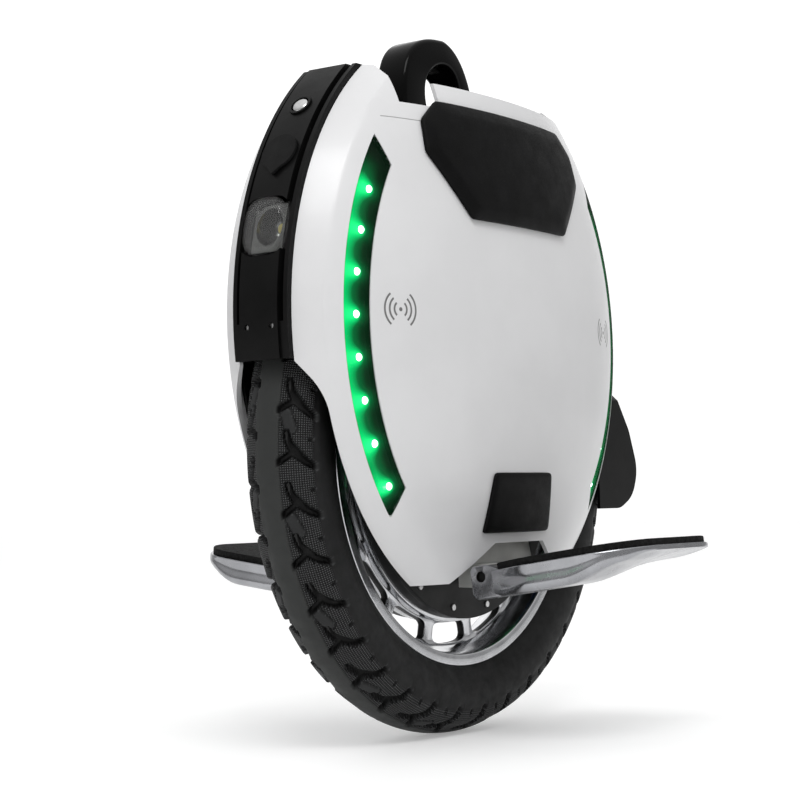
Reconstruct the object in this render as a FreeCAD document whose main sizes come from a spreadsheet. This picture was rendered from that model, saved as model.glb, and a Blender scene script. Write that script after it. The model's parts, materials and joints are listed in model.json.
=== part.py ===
# Electric unicycle: an eighteen inch wheel with a hub motor, in a pair of domed side shells.
# Frame: +X forward, +Y to the rider's left, +Z up. The origin is on the floor under the axle.
import FreeCAD, Part
import math
import os
import re

import Sketcher
from FreeCAD import Placement, Rotation, Vector

# Driving dimensions, in millimetres, degrees and counts
SIZES = {
    # shared clearances
    "overrun": 40.0,
    "reach": 1200.0,
    "seat_gap": 0.2,
    "moving_gap": 0.6,
    # tyre, tube and valve
    "tyre_radius": 233.0,
    "tyre_half_width": 32.7,
    "tyre_wall": 6.5,
    "tyre_channel_half": 13.0,
    "tyre_channel_depth": 14.0,
    "tube_wall": 2.5,
    "valve_radius": 3.2,
    "valve_length": 23.8,
    "valve_seat": 3.2,
    # rim
    "tyre_depth": 56.0,
    "bead_step": 6.5,
    "well_step": 11.0,
    "barrel_step": 16.0,
    "lip_face": 4.0,
    "rim_half_width": 24.0,
    "rim_lip_thickness": 4.0,
    "web_half_width": 11.0,
    "hub_ring_radius": 148.0,
    "groove_outer_radius": 146.0,
    "groove_inner_radius": 141.0,
    "groove_depth": 5.0,
    "groove_bridge": 5.0,
    "hub_ring_half_width": 21.0,
    "hub_bore_radius": 131.0,
    "spoke_count": 16,
    "spoke_width": 13.0,
    "window_margin": 2.0,
    "window_end_share": 0.8,
    # hub motor
    "cover_radius": 138.0,
    "cover_thickness": 5.0,
    "cover_dish_radius": 70.0,
    "cover_dish_rise": 4.0,
    "cover_boss_radius": 46.0,
    "cover_boss_rise": 9.0,
    "cover_screw_circle": 130.0,
    "cover_screw_count": 16,
    "cover_screw_radius": 2.6,
    "cover_screw_rise": 1.4,
    "magnet_thickness": 7.0,
    "magnet_half_width": 18.0,
    "air_gap": 1.5,
    "stator_ring": 34.0,
    "stator_half_width": 16.5,
    "stator_web_half": 5.0,
    "bearing_radius": 21.0,
    "bearing_width": 11.0,
    "axle_radius": 10.0,
    "axle_half_length": 66.0,
    "axle_running_gap": 0.05,
    "axle_nut_radius": 14.0,
    "axle_nut_thickness": 10.0,
    # wheel well
    "well_half_width": 41.5,
    "well_wall": 3.0,
    "arch_gap": 10.0,
    "arch_wall": 3.5,
    "arch_end_rise": 129.0,
    "well_inset": 17.0,
    "well_bottom_drop": 65.0,
    "motor_hole_radius": 152.0,
    # side shells
    "dome_inset": 2.0,
    "dome_rise": 19.0,
    "dome_bulge": 63.5,
    "dome_drop": 131.0,
    "rim_y": 26.5,
    "crease_depth": 20.0,
    "crease_back": 21.0,
    "shell_wall": 4.0,
    "shell_top_rise": 22.0,
    "shell_bottom_drop": 106.0,
    "hood_back": 103.0,
    "hood_top_rise": 34.0,
    "notch_length": 43.0,
    "notch_rise": 1.0,
    "throat_y": 44.0,
    "throat_low_rise": 43.0,
    "throat_high_rise": 67.0,
    "throat_round": 50.0,
    "throat_flange": 2.5,
    "throat_flange_width": 40.0,
    "recess_rise": 31.0,
    "recess_top_half": 38.0,
    "recess_low_half": 84.0,
    # pads on the shells
    "knee_pad_thickness": 8.0,
    "knee_top_drop": 16.0,
    "knee_shoulder_drop": 34.0,
    "knee_waist_drop": 61.0,
    "knee_bottom_drop": 111.0,
    "knee_top_half": 92.0,
    "knee_shoulder_half": 113.0,
    "knee_waist_half": 115.0,
    "knee_bottom_half": 70.0,
    "low_pad_thickness": 5.0,
    "low_pad_top_rise": 88.0,
    "low_pad_bottom_rise": 39.0,
    "low_pad_top_half": 43.0,
    "low_pad_bottom_half": 50.0,
    "low_pad_corner": 6.0,
    "knee_pad_round": 5.0,
    "low_pad_round": 3.0,
    # light bars
    "bar_inset": 26.0,
    "bar_inset_height": 25.0,
    "bar_top_share": 0.56746,
    "bar_bottom_share": 0.60714,
    "bar_top_tip_share": 0.69264,
    "bar_top_heel_share": 0.64935,
    "bar_bottom_tip_share": 0.64935,
    "bar_bottom_heel_share": 0.61039,
    "bar_width": 21.0,
    "bar_top_slant": 27.0,
    "bar_bottom_slant": 24.0,
    "bar_lens_thickness": 3.0,
    "led_board_thickness": 1.6,
    "led_board_margin": 4.0,
    "led_count": 8,
    "led_pitch_share": 0.12897,
    "led_radius": 3.0,
    "led_rise": 1.2,
    # front and rear panels
    "panel_half_width": 26.2,
    "panel_wall": 3.0,
    "panel_lip": 2.0,
    "panel_roof": 4.0,
    "ridge_inner": 22.4,
    "ridge_rise": 5.0,
    "apron_rise": 28.0,
    "slab_half_width": 18.4,
    "slab_rise": 7.0,
    "wheel_clearance": 4.0,
    "panel_screw_rise": 25.0,
    "panel_screw_spread": 12.0,
    "panel_screw_radius": 2.2,
    "panel_screw_length": 12.0,
    # lamps
    "lamp_drop": 35.7,
    "lamp_height": 46.0,
    "lamp_corner": 14.0,
    "lens_wall": 2.5,
    "lamp_depth": 22.0,
    "lamp_half_width": 15.2,
    "lamp_bowl_radius": 12.5,
    "lamp_chip_radius": 4.0,
    "lamp_chip_rise": 2.0,
    # power button and charge port, on the front panel
    "button_share": 0.668254,
    "button_radius": 7.0,
    "button_ring_radius": 9.8,
    "button_ring_rise": 1.6,
    "button_rise": 2.6,
    "button_length": 11.0,
    "switch_length": 14.0,
    "button_travel": 1.2,
    "port_drop": 40.7,
    "port_radius": 13.5,
    "port_bore_radius": 8.0,
    "port_depth": 22.0,
    "port_recess": 6.0,
    "port_lip": 0.8,
    "cap_radius": 16.0,
    "cap_thickness": 2.6,
    "cap_plug_radius": 11.0,
    "cap_plug_length": 4.5,
    "cap_tab_side": 14.0,
    "cap_tab_drop_share": 0.12,
    "cap_lift": 0.3,
    "port_pin_radius": 1.5,
    # mudguard behind the wheel
    "guard_half_width": 38.2,
    "guard_wall": 2.6,
    "guard_top_rise": 68.8,
    "guard_top_out": -4.0,
    "guard_knee_rise": 23.0,
    "guard_knee_out": 29.0,
    "guard_bulge_rise": -14.0,
    "guard_bulge_out": 44.0,
    "guard_tail_rise": -39.0,
    "guard_tail_out": 33.0,
    "guard_bottom_rise": -50.0,
    "guard_bottom_out": 9.0,
    "guard_front_out": -30.0,
    "guard_corner": 30.0,
    # hand well and lift handle
    "deck_gap": 6.3,
    "deck_thickness": 4.0,
    "handle_x": 2.0,
    "handle_half_width": 17.0,
    "handle_plan_radius": 160.0,
    "handle_half_length": 50.0,
    "handle_shoulder_rise": 29.0,
    "handle_eye_radius": 27.5,
    "handle_foot": 7.0,
    "handle_edge": 4.0,
    "lift_button_half_length": 9.0,
    "lift_button_half_width": 4.5,
    "lift_button_rise": 2.5,
    "lift_button_depth": 6.0,
    "lift_button_travel": 2.0,
    # pedals and their hangers
    "pedal_shift": 10.0,
    "pivot_y": 78.0,
    "pivot_rise": 5.0,
    "pedal_tilt": 8.0,
    "pedal_inner_half": 72.0,
    "pedal_wide_half": 90.0,
    "pedal_wide_y": 46.0,
    "pedal_outer_half": 84.0,
    "pedal_outer_y": 143.0,
    "pedal_corner": 50.0,
    "pedal_top": 3.5,
    "pedal_bottom": 18.0,
    "pedal_taper_y": 62.0,
    "pedal_thin_y": 86.0,
    "pedal_thin": 7.5,
    "pedal_edge": 3.5,
    "pedal_hollow": 26.0,
    "pedal_web_lap": 7.0,
    "pedal_inner_y": 12.0,
    "grip_thickness": 5.5,
    "grip_inset": 3.0,
    "knuckle_radius": 9.5,
    "knuckle_length": 22.0,
    "pin_radius": 4.0,
    "pin_gap": 0.05,
    "hanger_thickness": 10.0,
    "hanger_gap": 0.2,
    "hanger_top_rise": 195.0,
    "hanger_top_half": 20.0,
    "hanger_axle_half": 30.0,
    # inside
    "battery_front": 62.0,
    "battery_length": 72.0,
    "battery_rise": 17.0,
    "battery_height": 160.0,
    "battery_thickness": 20.0,
    "control_half_length": 55.0,
    "control_half_width": 34.0,
    "control_height": 16.0,
    "fin_count": 9,
    "fin_depth": 7.0,
    "fin_gap": 5.0,
    "speaker_back": 76.0,
    "speaker_rise": 4.0,
    "speaker_radius": 17.0,
    "speaker_depth": 19.0,
}

# Sizes that follow from others
DERIVED = {
    "rim_lip_radius": "tyre_radius - tyre_depth",
    "bead_seat_radius": "rim_lip_radius - bead_step",
    "well_radius": "rim_lip_radius - well_step",
    "barrel_radius": "rim_lip_radius - barrel_step",
    "barrel_edge_radius": "rim_lip_radius - lip_face",
    "valve_outer_radius": "rim_lip_radius - valve_seat",
    "valve_inner_radius": "valve_outer_radius - valve_length",
    "arch_radius": "tyre_radius + arch_gap",
    "control_floor": "tyre_radius + arch_radius + arch_wall + seat_gap",
    "arch_end_height": "tyre_radius + arch_end_rise",
    "well_bottom": "tyre_radius - well_bottom_drop",
    "dome_length": "tyre_radius - dome_inset",
    "dome_height": "tyre_radius + dome_rise",
    "dome_centre": "tyre_radius + tyre_radius - dome_drop",
    "shell_top": "deck_top + shell_top_rise",
    "shell_bottom": "tyre_radius - shell_bottom_drop",
    "hood_x": "dome_length - hood_back",
    "hood_top": "deck_top + hood_top_rise",
    "notch_rear": "hood_x - notch_length",
    "notch_bottom": "deck_top + notch_rise",
    "throat_low": "tyre_radius + throat_low_rise",
    "throat_high": "tyre_radius + throat_high_rise",
    "recess_top": "shell_bottom + recess_rise",
    "knee_top": "shell_top - knee_top_drop",
    "knee_shoulder": "shell_top - knee_shoulder_drop",
    "knee_waist": "shell_top - knee_waist_drop",
    "knee_bottom": "shell_top - knee_bottom_drop",
    "low_pad_top": "shell_bottom + low_pad_top_rise",
    "low_pad_bottom": "shell_bottom + low_pad_bottom_rise",
    "deck_top": "control_floor + control_height + deck_gap + deck_thickness",
    "handle_shoulder": "deck_top + handle_shoulder_rise",
    "pivot_height": "shell_bottom + pivot_rise",
    "hanger_top": "tyre_radius + hanger_top_rise",
    "battery_bottom": "tyre_radius + battery_rise",
    "speaker_height": "dome_centre + speaker_rise",
    "speaker_x": "dome_length - speaker_back",
    "bar_length": "dome_length - bar_inset",
    "bar_height": "dome_height - bar_inset_height",
    "bar_top": "dome_centre + bar_top_share * dome_height",
    "bar_bottom": "dome_centre - bar_bottom_share * dome_height",
    "bar_top_tip": "bar_top_tip_share * dome_length",
    "bar_top_heel": "bar_top_heel_share * dome_length",
    "bar_bottom_tip": "bar_bottom_tip_share * dome_length",
    "bar_bottom_heel": "bar_bottom_heel_share * dome_length",
    "led_pitch": "led_pitch_share * dome_height",
    "panel_bottom": "throat_high + panel_lip",
    "panel_screw_height": "panel_bottom + panel_screw_rise",
    "button_height": "dome_centre + button_share * dome_height",
    "port_height": "button_height - port_drop",
    "lamp_top": "port_height - lamp_drop",
    "lamp_bottom": "lamp_top - lamp_height",
    "guard_top": "tyre_radius + guard_top_rise",
    "guard_top_x": "tyre_radius + guard_top_out",
    "guard_knee": "tyre_radius + guard_knee_rise",
    "guard_knee_x": "tyre_radius + guard_knee_out",
    "guard_bulge": "tyre_radius + guard_bulge_rise",
    "guard_bulge_x": "tyre_radius + guard_bulge_out",
    "guard_tail": "tyre_radius + guard_tail_rise",
    "guard_tail_x": "tyre_radius + guard_tail_out",
    "guard_bottom": "tyre_radius + guard_bottom_rise",
    "guard_bottom_x": "tyre_radius + guard_bottom_out",
    "guard_front_x": "tyre_radius + guard_front_out",
}

FUNCTIONS = ("sqrt", "cos", "sin", "tan")

doc = FreeCAD.newDocument("electric_unicycle")
sheet = doc.addObject("Spreadsheet::Sheet", "sizes")
for row, (alias, number) in enumerate(SIZES.items(), start=1):
    sheet.set(f"A{row}", alias)
    sheet.set(f"B{row}", str(number))
    sheet.setAlias(f"B{row}", alias)
doc.recompute()

NODES = []


# Names in an expression

def cell(text):
    """The same sum, with each name as a cell of the sheet."""
    def prefixed(match):
        name = match.group()
        if name in DERIVED:
            return f"({cell(DERIVED[name])})"
        return name if name in FUNCTIONS else "sizes." + name
    return re.sub(r"[A-Za-z_]\w*", prefixed, str(text))


def value(text):
    """The number that a sum of names stands for."""
    tokens = re.findall(r"[A-Za-z_]\w*|[0-9.]+|[-+*/()]", str(text))

    def total():
        result = product()
        while tokens and tokens[0] in "+-":
            result += product() if tokens.pop(0) == "+" else -product()
        return result

    def product():
        result = single()
        while tokens and tokens[0] in "*/":
            result = result * single() if tokens.pop(0) == "*" else result / single()
        return result

    def single():
        token = tokens.pop(0)
        if token == "-":
            return -single()
        if token == "(":
            result = total()
            tokens.pop(0)
            return result
        if token in DERIVED:
            return value(DERIVED[token])
        return float(sheet.get(token)) if token in SIZES else float(token)

    return total()


def bind(thing, **links):
    for path, text in links.items():
        thing.setExpression(path.replace("__", "."), cell(text))
    return thing


def at(thing, x="0", y="0", z="0", turn=None):
    """Places an object, with an optional fixed turn."""
    if turn is not None:
        thing.Placement = Placement(Vector(), turn)
    return bind(thing, Placement__Base__x=x, Placement__Base__y=y, Placement__Base__z=z)


def node(thing, label):
    thing.Label = label
    NODES.append(thing)
    return thing


# Solids

ALONG_Y = Rotation(Vector(1, 0, 0), -90)
ALONG_X = Rotation(Vector(0, 1, 0), 90)
PLANES = {
    "XY": (Rotation(), Vector(0, 0, 1)),
    "XZ": (Rotation(Vector(1, 0, 0), 90), Vector(0, 1, 0)),
    "YZ": (Rotation(Vector(1, 1, 1), 120), Vector(1, 0, 0)),
}


def box(name, x, y, z):
    """A block between two places along each axis."""
    thing = doc.addObject("Part::Box", name)
    bind(thing, Length=f"({x[1]}) - ({x[0]})", Width=f"({y[1]}) - ({y[0]})", Height=f"({z[1]}) - ({z[0]})")
    return at(thing, x[0], y[0], z[0])


def rod_along_y(name, radius, y, x="0", z="tyre_radius"):
    thing = doc.addObject("Part::Cylinder", name)
    bind(thing, Radius=radius, Height=f"({y[1]}) - ({y[0]})")
    return at(thing, x, y[0], z, ALONG_Y)


def rod_along_x(name, radius, x, y, z):
    thing = doc.addObject("Part::Cylinder", name)
    bind(thing, Radius=radius, Height=f"({x[1]}) - ({x[0]})")
    return at(thing, x[0], y, z, ALONG_X)


def rod_along_z(name, radius, z, x, y):
    thing = doc.addObject("Part::Cylinder", name)
    bind(thing, Radius=radius, Height=f"({z[1]}) - ({z[0]})")
    return at(thing, x, y, z[0])


def ellipsoid(name, x_half, y_half, z_half, x="0", y="0", z="dome_centre"):
    thing = doc.addObject("Part::Ellipsoid", name)
    bind(thing, Radius1=z_half, Radius2=x_half, Radius3=y_half)
    return at(thing, x, y, z)


def drum(name, x_half, z_half, y=("-reach", "reach"), x="0", z="dome_centre"):
    """An upright oval disc between two places along Y."""
    tall = value(z_half) >= value(x_half)
    ring = doc.addObject("Part::Ellipse", name + "_ring")
    bind(ring, MajorRadius=z_half if tall else x_half, MinorRadius=x_half if tall else z_half)
    at(ring, x, y[0], z, Rotation(Vector(1, 1, 1), 240) if tall else ALONG_Y)
    thing = doc.addObject("Part::Extrusion", name)
    thing.Base = ring
    thing.DirMode = "Custom"
    thing.Dir = Vector(0, 1, 0)
    thing.Solid = True
    return bind(thing, LengthFwd=f"({y[1]}) - ({y[0]})")


def outline(name, plane, points, offset="0"):
    """A closed sketch of straight edges whose corners are bound to the sheet."""
    turn, normal = PLANES[plane]
    sketch = doc.addObject("Sketcher::SketchObject", name)
    corners = [Vector(value(u), value(v), 0) for u, v in points]
    count = len(corners)
    for i, corner in enumerate(corners):
        sketch.addGeometry(Part.LineSegment(corner, corners[(i + 1) % count]), False)
    for i in range(count):
        sketch.addConstraint(Sketcher.Constraint("Coincident", i, 2, (i + 1) % count, 1))
    for i, pair in enumerate(points):
        for kind, text in zip(("DistanceX", "DistanceY"), pair):
            index = sketch.addConstraint(Sketcher.Constraint(kind, -1, 1, i, 1, value(text)))
            sketch.setExpression(f"Constraints[{index}]", cell(text))
    sketch.Placement = Placement(Vector(), turn)
    for axis in ("x", "y", "z"):
        if getattr(normal, axis):
            sketch.setExpression(f"Placement.Base.{axis}", cell(offset))
    return sketch


def prism(name, plane, points, start, end):
    """An outline drawn out along its plane's normal, from one place to another."""
    thing = doc.addObject("Part::Extrusion", name)
    thing.Base = outline(name + "_outline", plane, points, start)
    thing.DirMode = "Custom"
    thing.Dir = PLANES[plane][1]
    thing.Solid = True
    return bind(thing, LengthFwd=f"({end}) - ({start})")


def lathe(name, points, height="tyre_radius"):
    """A profile of radius and place along Y, turned about the wheel's axis."""
    sketch = outline(name + "_outline", "XY", points, height)
    thing = doc.addObject("Part::Revolution", name)
    thing.Source = sketch
    thing.Axis = Vector(0, 1, 0)
    thing.Angle = 360
    thing.Solid = True
    return bind(thing, Base__z=height)


def fuse(name, *things):
    thing = doc.addObject("Part::MultiFuse", name)
    thing.Shapes = list(things)
    return thing


def common(name, *things):
    thing = doc.addObject("Part::MultiCommon", name)
    thing.Shapes = list(things)
    return thing


def cut(name, base, *tools):
    """One tool after the other taken away."""
    for i, tool in enumerate(tools, start=1):
        thing = doc.addObject("Part::Cut", name if i == len(tools) else f"{name}_{i}")
        thing.Base = base
        thing.Tool = tool
        base = thing
    return base


def group(name, things):
    thing = doc.addObject("Part::Compound", name)
    thing.Links = list(things)
    return thing


def mirror(name, source, normal=Vector(0, 1, 0)):
    thing = doc.addObject("Part::Mirroring", name)
    thing.Source = source
    thing.Normal = normal
    return thing


def rounded(name, base, radius, wanted):
    """The edges that a test picks, rounded."""
    base.recompute(True)
    edges = [i for i, edge in enumerate(base.Shape.Edges, start=1) if wanted(edge)]
    thing = doc.addObject("Part::Fillet", name)
    thing.Base = base
    thing.Edges = [(i, value(radius), value(radius)) for i in edges]
    return thing


def upright(edge, direction):
    """Whether an edge is a straight line along a direction."""
    if not isinstance(edge.Curve, (Part.Line, Part.LineSegment)):
        return False
    return abs(edge.tangentAt(edge.FirstParameter).dot(direction)) > 0.999


# The wheel

def make_tyre():
    centre = "tyre_radius - tyre_half_width"

    def ring(name, minor):
        thing = doc.addObject("Part::Torus", name)
        bind(thing, Radius1=centre, Radius2=minor)
        return at(thing, z="tyre_radius", turn=ALONG_Y)

    casing = ring("tyre_casing", "tyre_half_width")
    hollow = ring("tyre_hollow", "tyre_half_width - tyre_wall")
    seat = rod_along_y("tyre_seat", "bead_seat_radius + seat_gap", ("-overrun", "overrun"))
    bead = "rim_half_width - rim_lip_thickness - seat_gap"
    flange = rod_along_y("tyre_flange", "rim_lip_radius + seat_gap", (bead, "rim_half_width + seat_gap"))
    far_flange = mirror("tyre_far_flange", flange)
    channel = rod_along_y("tyre_channel", "bead_seat_radius + tyre_channel_depth",
                          ("-tyre_channel_half", "tyre_channel_half"))
    node(cut("tyre_solid", casing, hollow, seat, flange, far_flange, channel), "tyre")
    skin = ring("tube_skin", "tyre_half_width - tyre_wall - seat_gap")
    inside = ring("tube_inside", "tyre_half_width - tyre_wall - tube_wall")
    node(cut("tube_solid", skin, inside), "inner_tube")


def make_rim():
    body = doc.addObject("PartDesign::Body", "rim_body")
    planes = {plane.Role: plane for plane in body.Origin.OriginFeatures}
    half = [
        ("hub_bore_radius", "hub_ring_half_width"), ("hub_ring_radius", "hub_ring_half_width"),
        ("hub_ring_radius", "web_half_width"), ("barrel_radius", "web_half_width"),
        ("barrel_edge_radius", "rim_half_width"), ("rim_lip_radius", "rim_half_width"),
        ("rim_lip_radius", "rim_half_width - rim_lip_thickness"),
        ("bead_seat_radius", "rim_half_width - rim_lip_thickness"), ("well_radius", "web_half_width"),
    ]
    points = half + [(radius, f"-({place})") for radius, place in reversed(half)]
    profile = body_sketch(body, "rim_profile", planes["XY_Plane"], points)
    turned = body.newObject("PartDesign::Revolution", "rim_turned")
    turned.Profile = profile
    turned.ReferenceAxis = (profile, ["V_Axis"])
    turned.Angle = 360
    doc.recompute()
    pitch = 2 * math.pi / value("spoke_count")
    inner = "hub_ring_radius + window_margin"
    inner_half = f"{math.tan(pitch / 2):.5f} * hub_ring_radius - spoke_width / 2"
    lean = pitch / 2 * value("window_end_share")
    outer = f"{math.cos(lean):.5f} * barrel_radius"
    outer_half = f"{math.sin(pitch / 2):.5f} * barrel_radius - spoke_width / 2"
    window = body_sketch(body, "rim_window", planes["XZ_Plane"], [
        (inner, f"-({inner_half})"), (outer, f"-({outer_half})"),
        (outer, outer_half), (inner, inner_half),
    ])
    pocket = body.newObject("PartDesign::Pocket", "rim_window_cut")
    pocket.Profile = window
    pocket.Type = "ThroughAll"
    pocket.Midplane = True
    doc.recompute()
    pattern = body.newObject("PartDesign::PolarPattern", "rim_windows")
    pattern.Originals = [pocket]
    pattern.Axis = (planes["Y_Axis"], [""])
    pattern.Angle = 360
    bind(pattern, Occurrences="spoke_count")
    body.Tip = pattern
    bind(body, Placement__Base__z="tyre_radius")
    bore = rod_along_x("rim_valve_bore", "valve_radius + seat_gap",
                       ("valve_inner_radius", "valve_outer_radius"),
                       "0", "tyre_radius")
    face = ("hub_ring_half_width - groove_depth", "hub_ring_half_width + overrun")
    ring = cut("rim_groove_ring", rod_along_y("rim_groove_outer", "groove_outer_radius", face),
               rod_along_y("rim_groove_inner", "groove_inner_radius", face))
    bridges = []
    for i in range(int(value("spoke_count"))):
        angle = math.degrees(pitch) * (i + 1 / 2)
        bridge = doc.addObject("Part::Box", f"rim_bridge_{i}")
        bind(bridge, Length="hub_ring_radius", Width="overrun + overrun", Height="groove_bridge")
        bridges.append(at(bridge, f"0 - groove_bridge / 2 * sin({angle})", "0",
                          f"tyre_radius - groove_bridge / 2 * cos({angle})",
                          Rotation(Vector(0, 1, 0), angle)))
    groove = cut("rim_groove", ring, group("rim_bridges", bridges))
    node(cut("rim_bored", body, bore, groove, mirror("rim_far_groove", groove)), "rim")


def body_sketch(body, name, plane, points):
    """A closed outline on one of a body's own planes."""
    sketch = body.newObject("Sketcher::SketchObject", name)
    sketch.AttachmentSupport = [(plane, "")]
    sketch.MapMode = "FlatFace"
    corners = [Vector(value(u), value(v), 0) for u, v in points]
    count = len(corners)
    for i, corner in enumerate(corners):
        sketch.addGeometry(Part.LineSegment(corner, corners[(i + 1) % count]), False)
    for i in range(count):
        sketch.addConstraint(Sketcher.Constraint("Coincident", i, 2, (i + 1) % count, 1))
    for i, pair in enumerate(points):
        for kind, text in zip(("DistanceX", "DistanceY"), pair):
            index = sketch.addConstraint(Sketcher.Constraint(kind, -1, 1, i, 1, value(text)))
            sketch.setExpression(f"Constraints[{index}]", cell(text))
    return sketch


def make_motor():
    boss_y = "hub_ring_half_width + cover_thickness + cover_boss_rise"
    dish_y = "hub_ring_half_width + cover_thickness + cover_dish_rise"
    face_y = "hub_ring_half_width + cover_thickness"
    cover = lathe("left_cover_turned", [
        ("bearing_radius + seat_gap", boss_y + " - bearing_width"), ("bearing_radius + seat_gap", boss_y),
        ("cover_boss_radius", boss_y), ("cover_dish_radius", dish_y),
        ("cover_screw_circle - cover_thickness", face_y), ("cover_radius", face_y),
        ("cover_radius", "hub_ring_half_width"),
        ("cover_screw_circle - cover_thickness", "hub_ring_half_width"),
        ("cover_dish_radius", "hub_ring_half_width + cover_dish_rise"),
        ("cover_boss_radius", boss_y + " - bearing_width"),
    ])
    node(cover, "left_motor_cover")
    node(mirror("right_cover_turned", cover), "right_motor_cover")
    screws = []
    for i in range(int(value("cover_screw_count"))):
        angle = 360 * (i + 1 / 2) / value("cover_screw_count")
        screws.append(rod_along_y(
            f"cover_screw_{i}", "cover_screw_radius", (face_y, face_y + " + cover_screw_rise"),
            f"cover_screw_circle * cos({angle})",
            f"tyre_radius + cover_screw_circle * sin({angle})"))
    near = group("left_cover_screws", screws)
    node(group("cover_screw_set", [near, mirror("right_cover_screws", near)]), "cover_screws")

    bearing = cut(
        "left_bearing_ring",
        rod_along_y("left_bearing_blank", "bearing_radius", (boss_y + " - bearing_width", boss_y)),
        rod_along_y("left_bearing_bore", "axle_radius + axle_running_gap", ("0", "overrun")))
    node(bearing, "left_bearing")
    node(mirror("right_bearing_ring", bearing), "right_bearing")

    magnets = cut(
        "magnet_tube",
        rod_along_y("magnet_blank", "hub_bore_radius - seat_gap",
                    ("-magnet_half_width", "magnet_half_width")),
        rod_along_y("magnet_bore", "hub_bore_radius - magnet_thickness", ("-overrun", "overrun")))
    node(magnets, "magnet_ring")
    rotor = "hub_bore_radius - magnet_thickness - air_gap"
    stator = lathe("stator_turned", [
        ("axle_radius + axle_running_gap", "-stator_web_half"),
        ("axle_radius + axle_running_gap", "stator_web_half"),
        (rotor + " - stator_ring", "stator_web_half"), (rotor + " - stator_ring", "stator_half_width"),
        (rotor, "stator_half_width"), (rotor, "-stator_half_width"),
        (rotor + " - stator_ring", "-stator_half_width"), (rotor + " - stator_ring", "-stator_web_half"),
    ])
    node(stator, "stator")
    node(rod_along_y("axle_bar", "axle_radius", ("-axle_half_length", "axle_half_length")), "axle")
    nut_y = "well_half_width + hanger_gap + hanger_thickness"
    nut = cut(
        "left_nut",
        rod_along_y("left_nut_blank", "axle_nut_radius", (nut_y, nut_y + " + axle_nut_thickness")),
        rod_along_y("left_nut_bore", "axle_radius + axle_running_gap", ("0", nut_y + " + overrun")))
    node(group("axle_nut_set", [nut, mirror("right_nut", nut)]), "axle_nuts")


# The wheel well, which carries the shells

def make_wheel_well():
    sides = cut(
        "well_sides",
        common("well_block",
               drum("well_oval", "dome_length - well_inset", "dome_height - well_inset",
                    ("-well_half_width", "well_half_width")),
               box("well_slab", ("-reach", "reach"),
                   ("-overrun - well_half_width", "overrun + well_half_width"),
                   ("well_bottom", "deck_top - deck_thickness"))),
        box("well_gap", ("-reach", "reach"), ("well_wall - well_half_width", "well_half_width - well_wall"),
            ("0", "reach")),
        rod_along_y("well_motor_hole", "motor_hole_radius", ("-overrun - well_half_width",
                                                            "overrun + well_half_width")))
    arch = cut(
        "well_arch",
        rod_along_y("arch_outside", "arch_radius + arch_wall", ("-well_half_width", "well_half_width")),
        rod_along_y("arch_inside", "arch_radius",
                    ("-overrun - well_half_width", "overrun + well_half_width")),
        box("arch_below", ("-reach", "reach"), ("-overrun - well_half_width", "overrun + well_half_width"),
            ("-reach", "arch_end_height")))
    node(fuse("well_solid", sides, arch), "wheel_well")


# The domed shells

def dome(name, grow="0"):
    return ellipsoid(name, f"dome_length + {grow}", f"dome_bulge + {grow}", f"dome_height + {grow}",
                     y="rim_y")


def dome_blank(name, wall, crease, back):
    """The shell's profile of bevel, crease and dome, turned about Y and drawn out to an oval."""
    length = value("dome_length") - wall
    height = value("dome_height") - wall
    bulge = value("dome_bulge") - wall
    rim = value("rim_y")
    start = math.asin(crease / bulge)
    edge = length * math.cos(start)
    slope = (length - edge) / crease
    arc = Part.ArcOfEllipse(Part.Ellipse(Vector(0, rim, 0), length, bulge), start, math.pi / 2)
    corners = [Vector(0, rim + bulge, 0), Vector(0, rim - back, 0),
               Vector(length + back * slope, rim - back, 0),
               Vector(edge, rim + crease, 0)]
    lines = [Part.makeLine(a, b) for a, b in zip(corners, corners[1:])]
    turned = Part.Face(Part.Wire(lines + [arc.toShape()])).revolve(Vector(), Vector(0, 1, 0), 360)
    stretch = FreeCAD.Matrix()
    stretch.scale(1, 1, height / length)
    thing = doc.addObject("Part::Feature", name)
    thing.Shape = turned.transformGeometry(stretch)
    return at(thing, z="dome_centre")


def bar_outline(name, grow, mirrored=False):
    """The light bar's upright shape: a band of the oval with slanted ends."""
    outside = drum(name + "_outside", f"bar_length + {grow}", f"bar_height + {grow}")
    inside = drum(name + "_inside", f"bar_length - bar_width - {grow}", f"bar_height - bar_width - {grow}")
    ends = prism(name + "_ends", "XZ", [
        ("bar_top_tip", f"bar_top + {grow}"), ("dome_length + overrun", f"bar_top + {grow}"),
        ("dome_length + overrun", f"bar_bottom - {grow}"), ("bar_bottom_tip", f"bar_bottom - {grow}"),
        ("bar_bottom_heel", f"bar_bottom + bar_bottom_slant - {grow}"),
        ("bar_top_heel", f"bar_top - bar_top_slant + {grow}"),
    ], "rim_y", "rim_y + dome_bulge + overrun")
    band = common(name + "_band", cut(name + "_ring", outside, inside), ends)
    return mirror(name + "_rear", band, Vector(1, 0, 0)) if mirrored else band


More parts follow.
